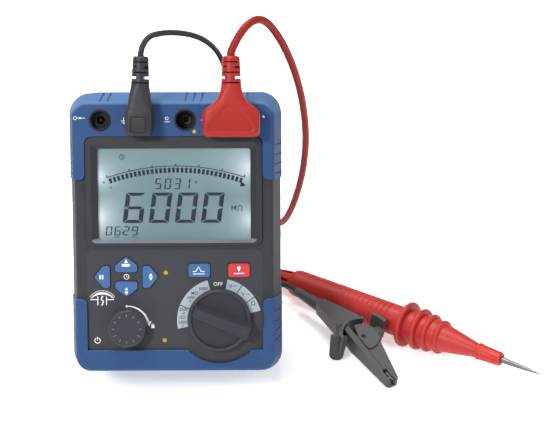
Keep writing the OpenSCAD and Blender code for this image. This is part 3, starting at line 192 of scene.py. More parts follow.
def oblong(x0, z0, x1, z1):
    return np.array([(x0, z0), (x1, z0), (x1, z1), (x0, z1)])


def stroke(points, width):
    """A line of some width along points: each is moved sideways by half the width, both ways."""
    points = np.asarray(points, float)
    along = np.gradient(points, axis=0)
    along /= np.linalg.norm(along, axis=1)[:, None]
    side = np.stack([-along[:, 1], along[:, 0]], -1) * width / 2
    return np.vstack([points + side, (points - side)[::-1]])


def pointer(tip, angle, length, width):
    """A triangle with its tip at a point, pointing along an angle."""
    turn = math.radians(angle)
    along = np.array([math.cos(turn), math.sin(turn)])
    side = np.array([-along[1], along[0]]) * width / 2
    back = np.array(tip) - along * length
    return np.array([tip, back + side, back - side])


def clock_sign(x, z, foot):
    """A ring with two hands, which meet foot above its middle."""
    return hoop((x, z), 1.7, 0.45) + [
        stroke([(x, z + foot + 1.2), (x, z + foot), (x + 0.9, z + foot)], 0.35)]


def megohm_sign(x, foot, head):
    """An M of four strokes round x, and to its right an open ring on two feet."""
    ring = x + 4.2
    legs = [stroke([(x + side * 1.3, foot), (x + side * 1.3, head)], 0.65) for side in (-1, 1)]
    arms = [stroke([(x + side * 1.4, head - 0.2), (x, foot + 1.3)], 0.6) for side in (-1, 1)]
    feet = [oblong(ring + side * 1.35 - 0.65, foot, ring + side * 1.35 + 0.65, foot + 0.5)
            for side in (-1, 1)]
    return legs + arms + [sector((ring, foot + 2.2), 1.05, 1.6, -52, 232)] + feet


# Which of a digit's seven bars are lit, from the top round clockwise, then the middle one
LIT = {"0": "1111110", "1": "0110000", "2": "1101101", "3": "1111001", "4": "0110011",
       "5": "1011011", "6": "1011111", "7": "1110000", "8": "1111111", "9": "1111011"}


def digit(figure, x, z, width, height, bar, slant, thin=0.68):
    """The lit bars of one figure: each bar is a strip with mitred ends, sheared to the slant.

    The level bars are thin times as thick as the upright ones.
    """
    gap, half, low = bar * 0.1, height / 2, bar * thin
    flat = [(gap, 0), (width - gap, 0), (width - gap - bar, -low), (gap + bar, -low)]
    tall = [(0, -gap), (0, -half + gap / 2), (bar, -half + low / 2 + gap), (bar, -low - gap)]
    middle = [(gap + bar * 0.3, -half), (bar, -half + low / 2), (width - bar, -half + low / 2),
              (width - gap - bar * 0.3, -half), (width - bar, -half - low / 2), (bar, -half - low / 2)]
    mirror = [(width - u, v) for u, v in tall]
    bars = [flat, mirror, [(u, -height - v) for u, v in mirror], [(u, -height - v) for u, v in flat],
            [(u, -height - v) for u, v in tall], tall, middle]
    return [np.array([(x + u + slant * (height + v), z + height + v) for u, v in shape])
            for shape, lit in zip(bars, LIT[figure]) if lit == "1"]


def figures(text, x, z, width, height, bar, pitch, slant=0.12):
    return [shape for i, figure in enumerate(text) if figure in LIT
            for shape in digit(figure, x + i * pitch, z, width, height, bar, slant)]


def letter_mesh(text, size, rise, bold):
    """Plain lettering lying flat, centred on the origin: points in the text's own units, and faces."""
    data = bpy.data.curves.new("lettering", "FONT")
    data.body = text
    data.size = size
    data.align_x = "CENTER"
    data.align_y = "CENTER"
    data.extrude = rise / 2
    data.offset = bold
    holder = placed("lettering", data)
    bpy.context.view_layer.update()
    mesh = bpy.data.meshes.new_from_object(holder.evaluated_get(bpy.context.evaluated_depsgraph_get()))
    work = bmesh.new()
    work.from_mesh(mesh)
    bmesh.ops.remove_doubles(work, verts=work.verts, dist=1e-5)
    work.to_mesh(mesh)
    work.free()
    points = np.array([v.co for v in mesh.vertices], float).reshape(-1, 3)
    faces = [list(p.vertices) for p in mesh.polygons]
    bpy.data.objects.remove(holder)
    bpy.data.meshes.remove(mesh)
    return points, faces


def letter(inlay, text, centre, size, turn=0.0, bold=0.0):
    """Adds lettering to an inlay, turned about its own middle."""
    rise = inlay.back - inlay.front
    points, faces = letter_mesh(text, size, rise, bold)
    c, s = math.cos(math.radians(turn)), math.sin(math.radians(turn))
    start = len(inlay.points)
    middle = (inlay.back + inlay.front) / 2
    inlay.points += [(centre[0] + c * x - s * y, middle - z, centre[1] + s * x + c * y)
                     for x, y, z in points]
    inlay.faces += [[start + i for i in face] for face in faces]


# Materials

def fill(tree, made, inputs):
    """Puts values, or links from other nodes, on a shader node's inputs."""
    for name, value in inputs.items():
        if isinstance(value, bpy.types.NodeSocket):
            tree.links.new(value, made.inputs[name])
        else:
            made.inputs[name].default_value = value
    return made


def node(tree, kind, inputs=None, **settings):
    """A shader node with its settings and its inputs."""
    made = tree.nodes.new(kind)
    for name, value in settings.items():
        setattr(made, name, value)
    return fill(tree, made, inputs or {})


def shade(colour, factor):
    return tuple(min(1.0, c * factor) for c in colour[:3]) + (1.0,)


def mixed(tree, factor, low, high):
    """A colour between two, each a value or another node's output."""
    return node(tree, "ShaderNodeMix", {"Factor": factor, 6: low, 7: high}, data_type="RGBA").outputs[2]


def object_space(tree):
    return node(tree, "ShaderNodeTexCoord").outputs["Object"]


def noise(tree, scale, detail=2.0):
    """Noise in object space."""
    return node(tree, "ShaderNodeTexNoise", {"Vector": object_space(tree), "Scale": scale,
                                             "Detail": detail}).outputs["Fac"]


def between(tree, value, low, high):
    """A value from 0 to 1 brought between two limits."""
    return node(tree, "ShaderNodeMapRange", {"Value": value, "To Min": low,
                                             "To Max": high}).outputs["Result"]


def blank(name):
    material = bpy.data.materials.new(name)
    material.use_nodes = True
    tree = material.node_tree
    return material, tree, tree.nodes["Principled BSDF"]


def moulded(name, colour, roughness=0.45, grain=0.35, mottle=0.08, soften=0.3, shine=0.25, edge=1.0,
            slope=None):
    """Moulded plastic: a fine spark-eroded grain, faint clouding, and softened edges.

    Two noises in object space drive the bump, a third the colour and the gloss. Where the rounded
    normal leaves the flat one, which is along an edge, the colour is multiplied by edge; above one
    this is a painted highlight along the edges. Where the surface turns towards the top of the case
    it goes over to slope, if there is one: a painted highlight of light falling from above.
    """
    material, tree, surface = blank(name)
    cloud = noise(tree, 45.0, 3.0)
    tint = mixed(tree, cloud, shade(colour, 1 - mottle), shade(colour, 1 + mottle))
    rounded = node(tree, "ShaderNodeBevel", {"Radius": soften * MM}, samples=4)
    flat = node(tree, "ShaderNodeNewGeometry")
    turned = node(tree, "ShaderNodeVectorMath",
                  {0: rounded.outputs["Normal"], 1: flat.outputs["Normal"]}, operation="DOT_PRODUCT")
    # Painted highlight: along edges the colour is multiplied by the factor edge
    painted_edge_highlight = node(tree, "ShaderNodeMapRange", {"Value": turned.outputs["Value"], "From Min": 0.99,
                                             "From Max": 0.85})
    tint = mixed(tree, painted_edge_highlight.outputs["Result"], tint, shade(colour, edge))
    # Painted highlight from above: surfaces facing up the case go over to the slope colour
    if slope:
        rise = node(tree, "ShaderNodeVectorMath", {0: flat.outputs["Normal"], 1: tuple(UPWARD)},
                    operation="DOT_PRODUCT")
        painted_top_light = node(tree, "ShaderNodeMapRange", {"Value": rise.outputs["Value"], "From Min": 0.06,
                                                   "From Max": 0.3})
        tint = mixed(tree, painted_top_light.outputs["Result"], tint, shade(slope, 1.0))
    bump = node(tree, "ShaderNodeBump", {"Height": noise(tree, 2400.0), "Strength": grain,
                                         "Distance": 0.05 * MM, "Normal": rounded.outputs["Normal"]})
    fill(tree, surface, {"Base Color": tint, "Normal": bump.outputs["Normal"],
                         "Roughness": between(tree, cloud, roughness - 0.05, roughness + 0.07),
                         "Specular IOR Level": shine})
    return material


def metal(name, colour, roughness=0.25, brushed=0.3):
    """Plated or turned metal: long thin noise for the tool marks."""
    material, tree, surface = blank(name)
    drawn = node(tree, "ShaderNodeMapping", {"Vector": object_space(tree),
                                             "Scale": (300.0, 300.0, 2500.0)})
    marks = node(tree, "ShaderNodeTexNoise", {"Vector": drawn.outputs["Vector"], "Scale": 1.0,
                                              "Detail": 3.0}).outputs["Fac"]
    bump = node(tree, "ShaderNodeBump", {"Height": marks, "Strength": brushed, "Distance": 0.02 * MM})
    fill(tree, surface, {"Base Color": shade(colour, 1.0), "Metallic": 1.0,
                         "Roughness": between(tree, marks, roughness - 0.08, roughness + 0.12),
                         "Normal": bump.outputs["Normal"]})
    return material


def ink(name, colour, roughness=0.5):
    """Printed ink with a slightly uneven film."""
    material, tree, surface = blank(name)
    film = mixed(tree, noise(tree, 900.0), shade(colour, 0.9), shade(colour, 1.06))
    fill(tree, surface, {"Base Color": film, "Roughness": roughness, "Specular IOR Level": 0.2})
    return material


# Where lamps shine into the display: across, up the face, and how far the glow reaches
DISPLAY_LAMPS = ((-53.6, 112.0, 8.0), (-53.6, 140.0, 6.0), (53.6, 110.0, 7.0), (53.6, 146.0, 8.0))


def display_glass(name, colour):
    """The lit display: a grey-green ground, brighter where two lamps at each side shine in.

    In object space the glow of a lamp is 0.85 over one plus the square of the distance divided by
    its reach, and the strongest of the four counts.
    """
    material, tree, surface = blank(name)
    total = None
    for x, z, reach in DISPLAY_LAMPS:
        lamp = tuple(on_meter((x, GLASS_BACK, z)))
        away = node(tree, "ShaderNodeVectorMath", {0: object_space(tree), 1: lamp},
                    operation="DISTANCE")
        ratio = node(tree, "ShaderNodeMath", {0: away.outputs["Value"], 1: reach * MM},
                     operation="DIVIDE")
        square = node(tree, "ShaderNodeMath", {0: ratio.outputs["Value"], 1: 2.0}, operation="POWER")
        near = node(tree, "ShaderNodeMath", {0: square.outputs["Value"], 1: 1.0}, operation="ADD")
        near = node(tree, "ShaderNodeMath", {0: 0.85, 1: near.outputs["Value"]}, operation="DIVIDE")
        if total is None:
            total = near.outputs["Value"]
        else:
            total = node(tree, "ShaderNodeMath", {0: total, 1: near.outputs["Value"]},
                         operation="MAXIMUM").outputs["Value"]
    base = mixed(tree, noise(tree, 30.0), shade(colour, 0.95), shade(colour, 1.05))
    lit = mixed(tree, total, base, (0.7, 0.8, 0.84, 1.0))
    fill(tree, surface, {"Base Color": lit, "Emission Color": lit, "Emission Strength": 0.25,
                         "Roughness": 0.5, "Specular IOR Level": 0.1})
    return material


def window_glass(name):
    """The clear window, nearly all see-through, with a sharp reflection."""
    material, tree, surface = blank(name)
    fill(tree, surface, {"Base Color": (0.3, 0.34, 0.35, 1.0), "Alpha": 0.06,
                         "Roughness": between(tree, noise(tree, 60.0), 0.03, 0.08)})
    return material


def cord_cover(name, colour, roughness=0.42):
    """Soft lead insulation: a silky skin with slow colour change along it and fine extrusion lines."""
    material, tree, surface = blank(name)
    slow = mixed(tree, noise(tree, 25.0), shade(colour, 0.88), shade(colour, 1.08))
    bump = node(tree, "ShaderNodeBump", {"Height": noise(tree, 1500.0), "Strength": 0.15,
                                         "Distance": 0.04 * MM})
    fill(tree, surface, {"Base Color": slow, "Normal": bump.outputs["Normal"], "Roughness": roughness,
                         "Specular IOR Level": 0.12})
    return material


def board(name, colour):
    """Circuit board: solder resist over faint copper tracks on a grid."""
    material, tree, surface = blank(name)
    tracks = node(tree, "ShaderNodeTexBrick", {
        "Vector": object_space(tree), "Scale": 180.0, "Mortar Size": 0.03,
        "Color1": shade(colour, 0.9), "Color2": shade(colour, 1.1), "Mortar": shade(colour, 1.7)})
    fill(tree, surface, {"Base Color": tracks.outputs["Color"], "Roughness": 0.35})
    return material


# Properties

def tint_property(name, description, default):
    return FloatVectorProperty(name=name, description=description, default=default, size=3,
                               min=0.0, max=1.0, subtype="COLOR")


class TesterColours(bpy.types.PropertyGroup):
    """Colours of the tester's finishes."""

    guard: tint_property("Guards", "Blue of the end guards", (0.027, 0.064, 0.165))
    case: tint_property("Case", "Dark grey of the case", (0.035, 0.037, 0.044))
    label: tint_property("Label", "Grey of the label over the lower face", (0.039, 0.041, 0.049))
    display: tint_property("Display", "Grey-green of the display", (0.135, 0.215, 0.225))
    knob: tint_property("Knobs", "Near-black of the dial and the test button", (0.033, 0.036, 0.044))
    blue_key: tint_property("Blue keys", "Blue of the keys", (0.05, 0.115, 0.27))
    red_key: tint_property("Lamp key", "Red of the lamp key", (0.5, 0.045, 0.045))
    red_plug: tint_property("Red plug", "Red of the double plug", (0.31, 0.016, 0.012))
    probe: tint_property("Probe", "Red of the probe", (0.4, 0.028, 0.024))
    red_lead: tint_property("Red lead", "Red of the lead", (0.25, 0.018, 0.013))
    black: tint_property("Black plug and clip", "Dark grey of the black plug", (0.026, 0.028, 0.033))
    black_lead: tint_property("Black lead", "Dark grey of the black lead", (0.035, 0.035, 0.042))


class TesterLeads(bpy.types.PropertyGroup):
    """Sizes of the leads."""

    red_diameter: FloatProperty(name="Red lead", description="Diameter of the red lead",
                                default=0.0055, min=0.004, max=0.007, unit="LENGTH")
    black_diameter: FloatProperty(name="Black lead", description="Diameter of the black lead",
                                  default=0.004, min=0.003, max=0.005, unit="LENGTH")
    steps: IntProperty(name="Steps", description="Points between two points of a route",
                       default=8, min=2, max=16)


class TesterStage(bpy.types.PropertyGroup):
    """Camera and light."""

    azimuth: FloatProperty(name="Azimuth", description="Direction the camera looks from",
                           default=math.radians(-0.42), subtype="ANGLE")
    elevation: FloatProperty(name="Elevation", description="Height of the camera as an angle",
                             default=math.radians(31.2), subtype="ANGLE")
    distance: FloatProperty(name="Distance", description="Distance from the camera to its target",
                            default=1.0, min=0.3, unit="LENGTH")
    target: FloatVectorProperty(name="Target", description="Point that the camera looks at",
                                default=(0.07225, 0.0619, 0.080), subtype="TRANSLATION")
    lens: FloatProperty(name="Lens", description="Focal length on a 36 mm sensor, in millimetres",
                        default=83.9, min=20.0)


# The stage

class TESTER_OT_stage(bpy.types.Operator):
    """Floor, lights and the camera at the photograph's viewing angle"""

    bl_idname = "tester.stage"
    bl_label = "Stage"

    def execute(self, context):
        stage = context.scene.tester_stage
        side = 4.0
        mesh = bpy.data.meshes.new("bench")
        mesh.from_pydata([(-side, -side, 0), (side, -side, 0), (side, side, 0), (-side, side, 0)], [],
                         [(0, 1, 2, 3)])
        bench = placed("bench", mesh)
        material, tree, surface = blank("pale_bench")
        fill(tree, surface, {"Base Color": (0.93, 0.93, 0.93, 1.0), "Roughness": 0.75,
                             "Emission Color": (1.0, 1.0, 1.0, 1.0), "Emission Strength": 0.5})
        mesh.materials.append(material)
        world = bpy.data.worlds.new("studio")
        context.scene.world = world
        world.use_nodes = True
        sky = world.node_tree.nodes["Background"]
        sky.inputs["Color"].default_value = (1.0, 1.0, 1.0, 1.0)
        sky.inputs["Strength"].default_value = 0.28
        target = Vector(stage.target)
        for name, place, power, size in (
            ("key_light", (-0.8, -1.2, 1.15), 20.0, 0.35),
            ("fill_light", (1.2, -0.7, 0.8), 7.0, 1.2),
            ("top_light", (-0.3, 0.4, 1.6), 34.0, 0.9),
        ):
            lamp = bpy.data.lights.new(name, "AREA")
            lamp.energy = power
            lamp.size = size
            holder = placed(name, lamp)
            holder.location = target + Vector(place)
            holder.rotation_euler = (-Vector(place)).to_track_quat("-Z", "Y").to_euler()
        back = Vector((math.sin(stage.azimuth) * math.cos(stage.elevation),
                       -math.cos(stage.azimuth) * math.cos(stage.elevation),
                       math.sin(stage.elevation)))
        camera = placed("camera", bpy.data.cameras.new("camera"))
        camera.data.lens = stage.lens
        camera.data.sensor_width = 36.0
        camera.location = target + back * stage.distance
        camera.rotation_euler = (-back).to_track_quat("-Z", "Y").to_euler()
        context.scene.camera = camera
        context.scene.view_settings.view_transform = "Standard"
        return {"FINISHED"}


# The leads

# Routes in millimetres, from plug to coil and from coil to tool
RED_ROUTE = [
    (40, 6.25, 239.27), (40.1, 7.2, 241.3), (42.2, 9.4, 245.6), (46.4, 13.5, 252),
    (51.8, 19, 256.4), (58.3, 26.5, 256.6), (65.2, 34.5, 249.9), (73.4, 43.6, 234.4),
    (80.7, 54, 214), (86.5, 66, 191), (90.8, 79, 165), (93.3, 93, 137), (93.4, 108, 107),
    (90.4, 124, 74), (84.6, 140, 42), (77.6, 156, 17.5), (70.3, 171.5, 5.8), (66, 186, 3.2),
    (65.2, 202, 2.8)]
RED_TAIL = [
    (-17.3, 202, 2.8), (-16.4, 182, 2.8), (-9, 161, 2.8), (5, 142, 2.8), (20, 124, 3),
    (36, 110, 5.5), (54.2, 96.8, 9), (63.6, 89.3, 9.7)]
BLACK_ROUTE = [
    (-20.38, 6.23, 239.25), (-20.32, 7.1, 241.1), (-18.4, 9.4, 246.4), (-14.2, 13.5, 250.1),
    (-8, 19.5, 249.5), (-1.8, 27, 246.9), (6.3, 36, 242.5), (15.9, 46.5, 235.2),
    (24.3, 58, 224.1), (30.3, 70, 209.4), (34.4, 83, 188), (35.9, 96, 162),
    (33.4, 108.5, 132), (26, 121, 100), (14, 136, 62), (-1, 151, 30), (-14, 161, 12),
    (-27, 167, 3.3), (-42, 167.2, 2)]
BLACK_TAIL = [
    (-42, 102.8, 2), (-22, 102, 2), (2, 96, 2), (24, 88, 2.5), (44, 80, 5), (62, 71, 10),
    (78.8, 59.9, 16.4), (86.4, 50.6, 17)]
RED_COIL = {"centre": (24.0, 202.0), "mean": 30.0, "across": 3, "turns": 4.5, "start": 0.0}
BLACK_COIL = {"centre": (-42.0, 135.0), "mean": 22.0, "across": 4, "turns": 6.5, "start": 90.0}
TURN_STEPS = 40  # points in one turn of a coil
ROUNDS = 6  # how often a lead's path is relaxed
SEAT = 0.5  # how far a lead reaches back to its strain relief
RED_KIT = ["red_plug_body", "probe_grip", "probe_shroud", "probe_tip"]
BLACK_KIT = ["black_plug_body", "clip_body", "clip_lever"]


def eased(route, steps):
    """A smooth curve through points: between each pair, the cubic whose slope at a point is half the
    way between its neighbours."""
    p = np.asarray(route, float)
    padded = np.vstack([p[0], p, p[-1]])
    t = (np.arange(steps) / steps)[:, None]
    parts = [0.5 * (2 * b + (c - a) * t + (2 * a - 5 * b + 4 * c - d) * t**2
                    + (3 * b - a - 3 * c + d) * t**3)
             for a, b, c, d in zip(padded, padded[1:], padded[2:], padded[3:])]
    return np.vstack(parts + [p[-1:]])


def wound(centre, mean, across, turns, start, radius):
    """A coil's centreline: it winds in on the bench from outside to inside, climbs one lead, winds
    out again on top, and drops back to the bench at its outside."""
    inner, outer = mean - (across - 1) * radius, mean + (across - 1) * radius
    side = outer + 2 * radius + 0.2
    settle, climb, leave = 0.35, 0.4, 0.3
    bottom_end = settle + across - 1
    t = np.linspace(0, turns, int(turns * TURN_STEPS) + 1)
    reach = np.interp(t, [0, settle, bottom_end, bottom_end + climb, turns - leave, turns],
                      [side, outer, inner, inner, outer, side])
    height = np.interp(t, [0, bottom_end, bottom_end + climb, turns - leave / 2, turns],
                       [radius, radius, 3 * radius, 2.75 * radius, radius])
    turn = np.radians(start) + 2 * math.pi * t
    return np.stack([centre[0] + reach * np.cos(turn), centre[1] + reach * np.sin(turn), height], -1)


def relaxed(path, rounds):
    """Takes the kinks out of a path: each point moves to the mean of itself and its neighbours."""
    path = path.copy()
    for _ in range(rounds):
        path[2:-2] = (path[1:-3] + 2 * path[2:-2] + path[3:-1]) / 4
    return path


def lead_curve(name, path, diameter, material, body):
    """A round lead as a curve of one open spline through a path in millimetres."""
    data = bpy.data.curves.new(name, "CURVE")
    data.dimensions = "3D"
    data.bevel_depth = diameter / 2
    data.bevel_resolution = 5
    data.use_fill_caps = True
    spline = data.splines.new("POLY")
    spline.points.add(len(path) - 1)
    flat = np.hstack([path * MM, np.ones((len(path), 1))])
    spline.points.foreach_set("co", flat.ravel())
    data.materials.append(material)
    made = placed(name, data)
    spline.use_smooth = True
    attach(made, body)
    return made


class TESTER_OT_leads(bpy.types.Operator):
    """The red and the black lead, each from its plug through its coil to its tool"""

    bl_idname = "tester.leads"
    bl_label = "Leads"

    def execute(self, context):
        sizes, colours = context.scene.tester_leads, context.scene.tester_colours
        for name, route, coil, tail, diameter, colour, solids, with_pieces in (
            ("red_lead_whole", RED_ROUTE, RED_COIL, RED_TAIL, sizes.red_diameter, colours.red_lead,
             ("red_lead", "red_coil", "red_tail"), RED_KIT),
            ("black_lead_whole", BLACK_ROUTE, BLACK_COIL, BLACK_TAIL, sizes.black_diameter,
             colours.black_lead, ("black_lead", "black_coil", "black_tail"), BLACK_KIT),
        ):
            radius = diameter / 2 / MM
            path = relaxed(np.vstack([
                eased(route, sizes.steps)[:-1],
                wound(radius=radius, **coil)[:-1],
                eased(tail, sizes.steps)]), ROUNDS)
            path[0] += SEAT * (path[0] - path[1]) / np.linalg.norm(path[0] - path[1])
            cover = cord_cover(name + "_cover", colour)
            lead = lead_curve(name, path, diameter, cover, "meter")
            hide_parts(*solids)
        return {"FINISHED"}


# The plugs

# At each height over the socket: half the width, front, back, and the power that squares the section
RED_ROWS = [
    (-11.0, 16.4, -14.6, -1.0, 5), (-10.4, 17.9, -16.2, -1.0, 5), (-8.6, 19.0, -17.1, -1.0, 5.5),
    (-5.0, 19.3, -17.5, -1.0, 6), (0.0, 19.4, -17.6, -1.0, 6), (4.0, 19.2, -17.5, -1.0, 6),
    (6.6, 18.3, -17.4, -1.0, 6), (8.7, 16.4, -17.1, -1.0, 5.5), (10.9, 13.1, -16.8, -1.0, 5),
    (13.4, 10.3, -16.4, -1.0, 4.5), (17.5, 8.1, -15.8, -1.0, 4), (21.0, 7.2, -15.2, -1.0, 3),
    (23.5, 6.8, -14.8, -1.2, 2)]
BLACK_ROWS = [
    (-10.0, 6.8, -13.8, -1.0, 4), (-9.4, 8.1, -15.1, -1.0, 4.5), (-7.4, 9.1, -15.9, -1.0, 5),
    (-3.0, 9.4, -16.2, -1.0, 5), (2.0, 9.4, -16.2, -1.0, 5), (6.4, 9.0, -16.0, -1.0, 5),
    (8.8, 8.4, -15.3, -1.0, 4.5), (11.5, 7.8, -14.9, -1.0, 4), (16.0, 7.3, -14.7, -1.0, 3.5),
    (20.0, 6.7, -14.4, -1.2, 3), (23.5, 6.2, -14.2, -1.8, 2)]
RELIEF_Y, RELIEF_FOOT, RELIEF_TOP = -8.0, 23.5, 43.1
PAIR_X = (SOCKETS["common"] + SOCKETS["line"]) / 2
AROUND = 300  # points round a plug


def smooth_step(x):
    x = np.clip(x, 0, 1)
    return x * x * (3 - 2 * x)


def sunk_panel(u, v):
    """Depth of a triangular panel with round corners: the root of the summed squares of how far a
    point is past three lines, which lie radius inside the edges, eased over the width of the wall."""
    foot, corner, apex, radius, wall = -8.5, 21.0, 15.2, 7.0, 1.4
    side = math.hypot(corner, apex - foot)
    edges = [foot - v] + [((apex - foot) * (way * u - corner) + corner * (v - foot)) / side
                          for way in (-1, 1)]
    outside = sum(np.maximum(edge + radius, 0) ** 2 for edge in edges) ** 0.5 - radius
    return 0.7 * smooth_step(-outside / wall)


def sunk_square(u, v):
    """Depth of a fine groove round a square: how near the larger of the two distances is to it."""
    half, width, middle = 5.0, 0.7, -2.6
    off = abs(np.maximum(abs(u), abs(v - middle)) - half)
    return 0.6 * smooth_step(1.5 * (1 - off / width))


def plug_rings(rows, sink):
    """Skin of a plug's body: round each height a squared ellipse.

    With the turn t, half width a, half depth b and power n, a point lies at k (a cos t, b sin t)
    where k is the sum of the powers n of cos t and sin t, to -1 / n. The front sinks by sink.
    """
    v, half, front, back, power = eased(rows, 12).T[:, :, None]
    turn = np.arange(AROUND) * 2 * math.pi / AROUND
    c, s = np.cos(turn), np.sin(turn)
    reach = (abs(c) ** power + abs(s) ** power) ** (-1 / power)
    u = half * c * reach
    y = (front + back) / 2 + (front - back) / 2 * s * reach
    y = y + np.where(s > 0, sink(u, v + 0 * u), 0)
    return np.stack([u, y, v + 0 * u], -1)


def relief_rings(radius):
    """Skin of a strain relief: a cone with a rounded top, cut in turn from front and back, and
    from the sides, down to a web. In a cut the radius is the web's half width over the sine or
    the cosine of the turn. The upper side cut is closed behind."""
    edges, pitch, web, corner = [], 3.45, radius * 0.4, 1.8
    for i in range(5):
        middle, half = RELIEF_TOP - 4 - i * pitch, (0.45, 0.8)[i % 2]
        edges.append((middle - half, middle + half))
    fine = [e + way for cut in edges for e in cut for way in (-0.01, 0.01)]
    top = RELIEF_TOP - corner + corner * np.sin(np.radians([15, 30, 45, 60, 75, 88]))
    z = np.sort(np.hstack([np.linspace(RELIEF_FOOT, RELIEF_TOP - corner, 20)[1:], fine, top]))
    over = np.clip(z - RELIEF_TOP + corner, 0, corner)
    taper = (z - RELIEF_FOOT) / (RELIEF_TOP - RELIEF_FOOT)
    outer = radius - taper - corner + np.sqrt(corner**2 - over**2)
    turn = np.arange(AROUND) * 2 * math.pi / AROUND
    c, s = np.cos(turn), np.sin(turn)
    r = np.repeat(outer[:, None], AROUND, 1)
    for i, (low, high) in enumerate(edges):
        along = abs(c) if i % 2 else abs(s)
        wall = web / np.maximum(along, 1e-3)
        if i == 1:
            wall = np.where(s > -0.2, wall, radius)
        inside = ((z > low) & (z < high))[:, None]
        r = np.where(inside, np.minimum(r, wall), r)
    return np.stack([r * c, RELIEF_Y - r * s, z[:, None] + 0 * r], -1)


class TESTER_OT_plugs(bpy.types.Operator):
    """The soft bodies of the two plugs, with their strain reliefs"""

    bl_idname = "tester.plugs"
    bl_label = "Plugs"

    def execute(self, context):
        tones = context.scene.tester_colours
        for name, rows, sink, radius, x, tilt, finish in (
            ("red_plug", RED_ROWS, sunk_panel, 6.8, PAIR_X, 0.0,
             moulded("red_plug_moulding", tones.red_plug, 0.42)),
            ("black_plug", BLACK_ROWS, sunk_square, 6.2, SOCKETS["earth"], 2.0,
             moulded("black_moulding", tones.black, 0.45)),
        ):
            rings = np.vstack([plug_rings(rows, sink), relief_rings(radius)])
            c, s = math.cos(math.radians(tilt)), math.sin(math.radians(tilt))
            leaned = np.array([[c, 0, -s], [0, 1, 0], [s, 0, c]])
            vertices, faces = closed_rings(on_meter(rings @ leaned + (x, 0, SOCKET_Z)))
            body = outward(link_piece(name + "_body", vertices, faces, finish, "meter"))
            body.data.set_sharp_from_angle(angle=math.radians(38))
            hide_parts(name)
        return {"FINISHED"}


# The spring of the test button

# Outer is the end at the button and inner the end in the case, both as depths into the case
SPRING = {"radius": 7.05, "wire": 0.45, "outer": -6.5, "inner": 1.7, "turns": 4, "travel": 2.4}


def spring_rings():
    """A helix: a share t of its turns round it has gone the same share t from outer to inner, and
    round each point lies a circle of the wire in the plane of the helix's radius and axis."""
    t = np.linspace(0, 1, 48 * SPRING["turns"] + 1)[:, None]
    turn, section = 2 * math.pi * SPRING["turns"] * t, np.radians(np.arange(12) * 30.0)
    reach = SPRING["radius"] + SPRING["wire"] * np.cos(section)
    middle = SPRING["outer"] + (SPRING["inner"] - SPRING["outer"]) * t
    depth = middle + SPRING["wire"] * np.sin(section)
    return np.stack([TEST[0] + reach * np.cos(turn), depth, TEST[1] + reach * np.sin(turn)], -1)


class TESTER_OT_spring(bpy.types.Operator):
    """The test button's spring, built as one fixed coil"""

    bl_idname = "tester.spring"
    bl_label = "Test spring"

    def execute(self, context):
        vertices, faces = closed_rings(on_meter(spring_rings()))
        steel = metal("spring_steel", (0.5, 0.5, 0.5))
        spring = outward(link_piece("test_spring_coil", vertices, faces, steel, "meter"))
        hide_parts("test_spring")
        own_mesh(spring)
        return {"FINISHED"}


# The probe's collar

PROBE_AT = (169.7, 4.6, 17.8)
PROBE_PITCH, PROBE_YAW = math.radians(86.6), math.radians(-38.6)
# Place along the probe, radius, and depth of the flutes
COLLAR_ROWS = [(60.9, 5.0, 0), (61.3, 6.0, 0), (61.8, 6.3, 0), (63.4, 6.3, 0), (63.7, 6.0, 0),
               (64.2, 5.95, 0.3), (79.0, 5.25, 0.3), (80.0, 5.1, 0), (80.8, 4.6, 0), (80.8, 2.6, 0),
               (79.8, 2.5, 0)]
FLUTES, FLUTE_STEPS = 14, 16


def collar_rings():
    """A turned shape whose radius, at the turn t, is less by its depth times the mean of one and
    the cosine of the number of flutes times t."""
    z, radius, depth = np.array(COLLAR_ROWS, float).T[:, :, None]
    around = FLUTES * FLUTE_STEPS
    turn = np.arange(around) * 2 * math.pi / around
    r = radius - depth * (0.5 + 0.5 * np.cos(FLUTES * turn))
    return np.stack([r * np.cos(turn), r * np.sin(turn), z + 0 * r], -1)


class TESTER_OT_collar(bpy.types.Operator):
    """The fluted collar that grips the probe's tip"""

    bl_idname = "tester.collar"
    bl_label = "Collar"

    def execute(self, context):
        turned = np.array(Matrix.Rotation(PROBE_YAW, 3, "Z") @ Matrix.Rotation(PROBE_PITCH, 3, "Y"))
        vertices, faces = closed_rings(MM * (collar_rings() @ turned.T + PROBE_AT))
        finish = moulded("collar_moulding", (0.46, 0.027, 0.016), 0.36)
        outward(link_piece("probe_collar", vertices, faces, finish, "meter"))
        return {"FINISHED"}


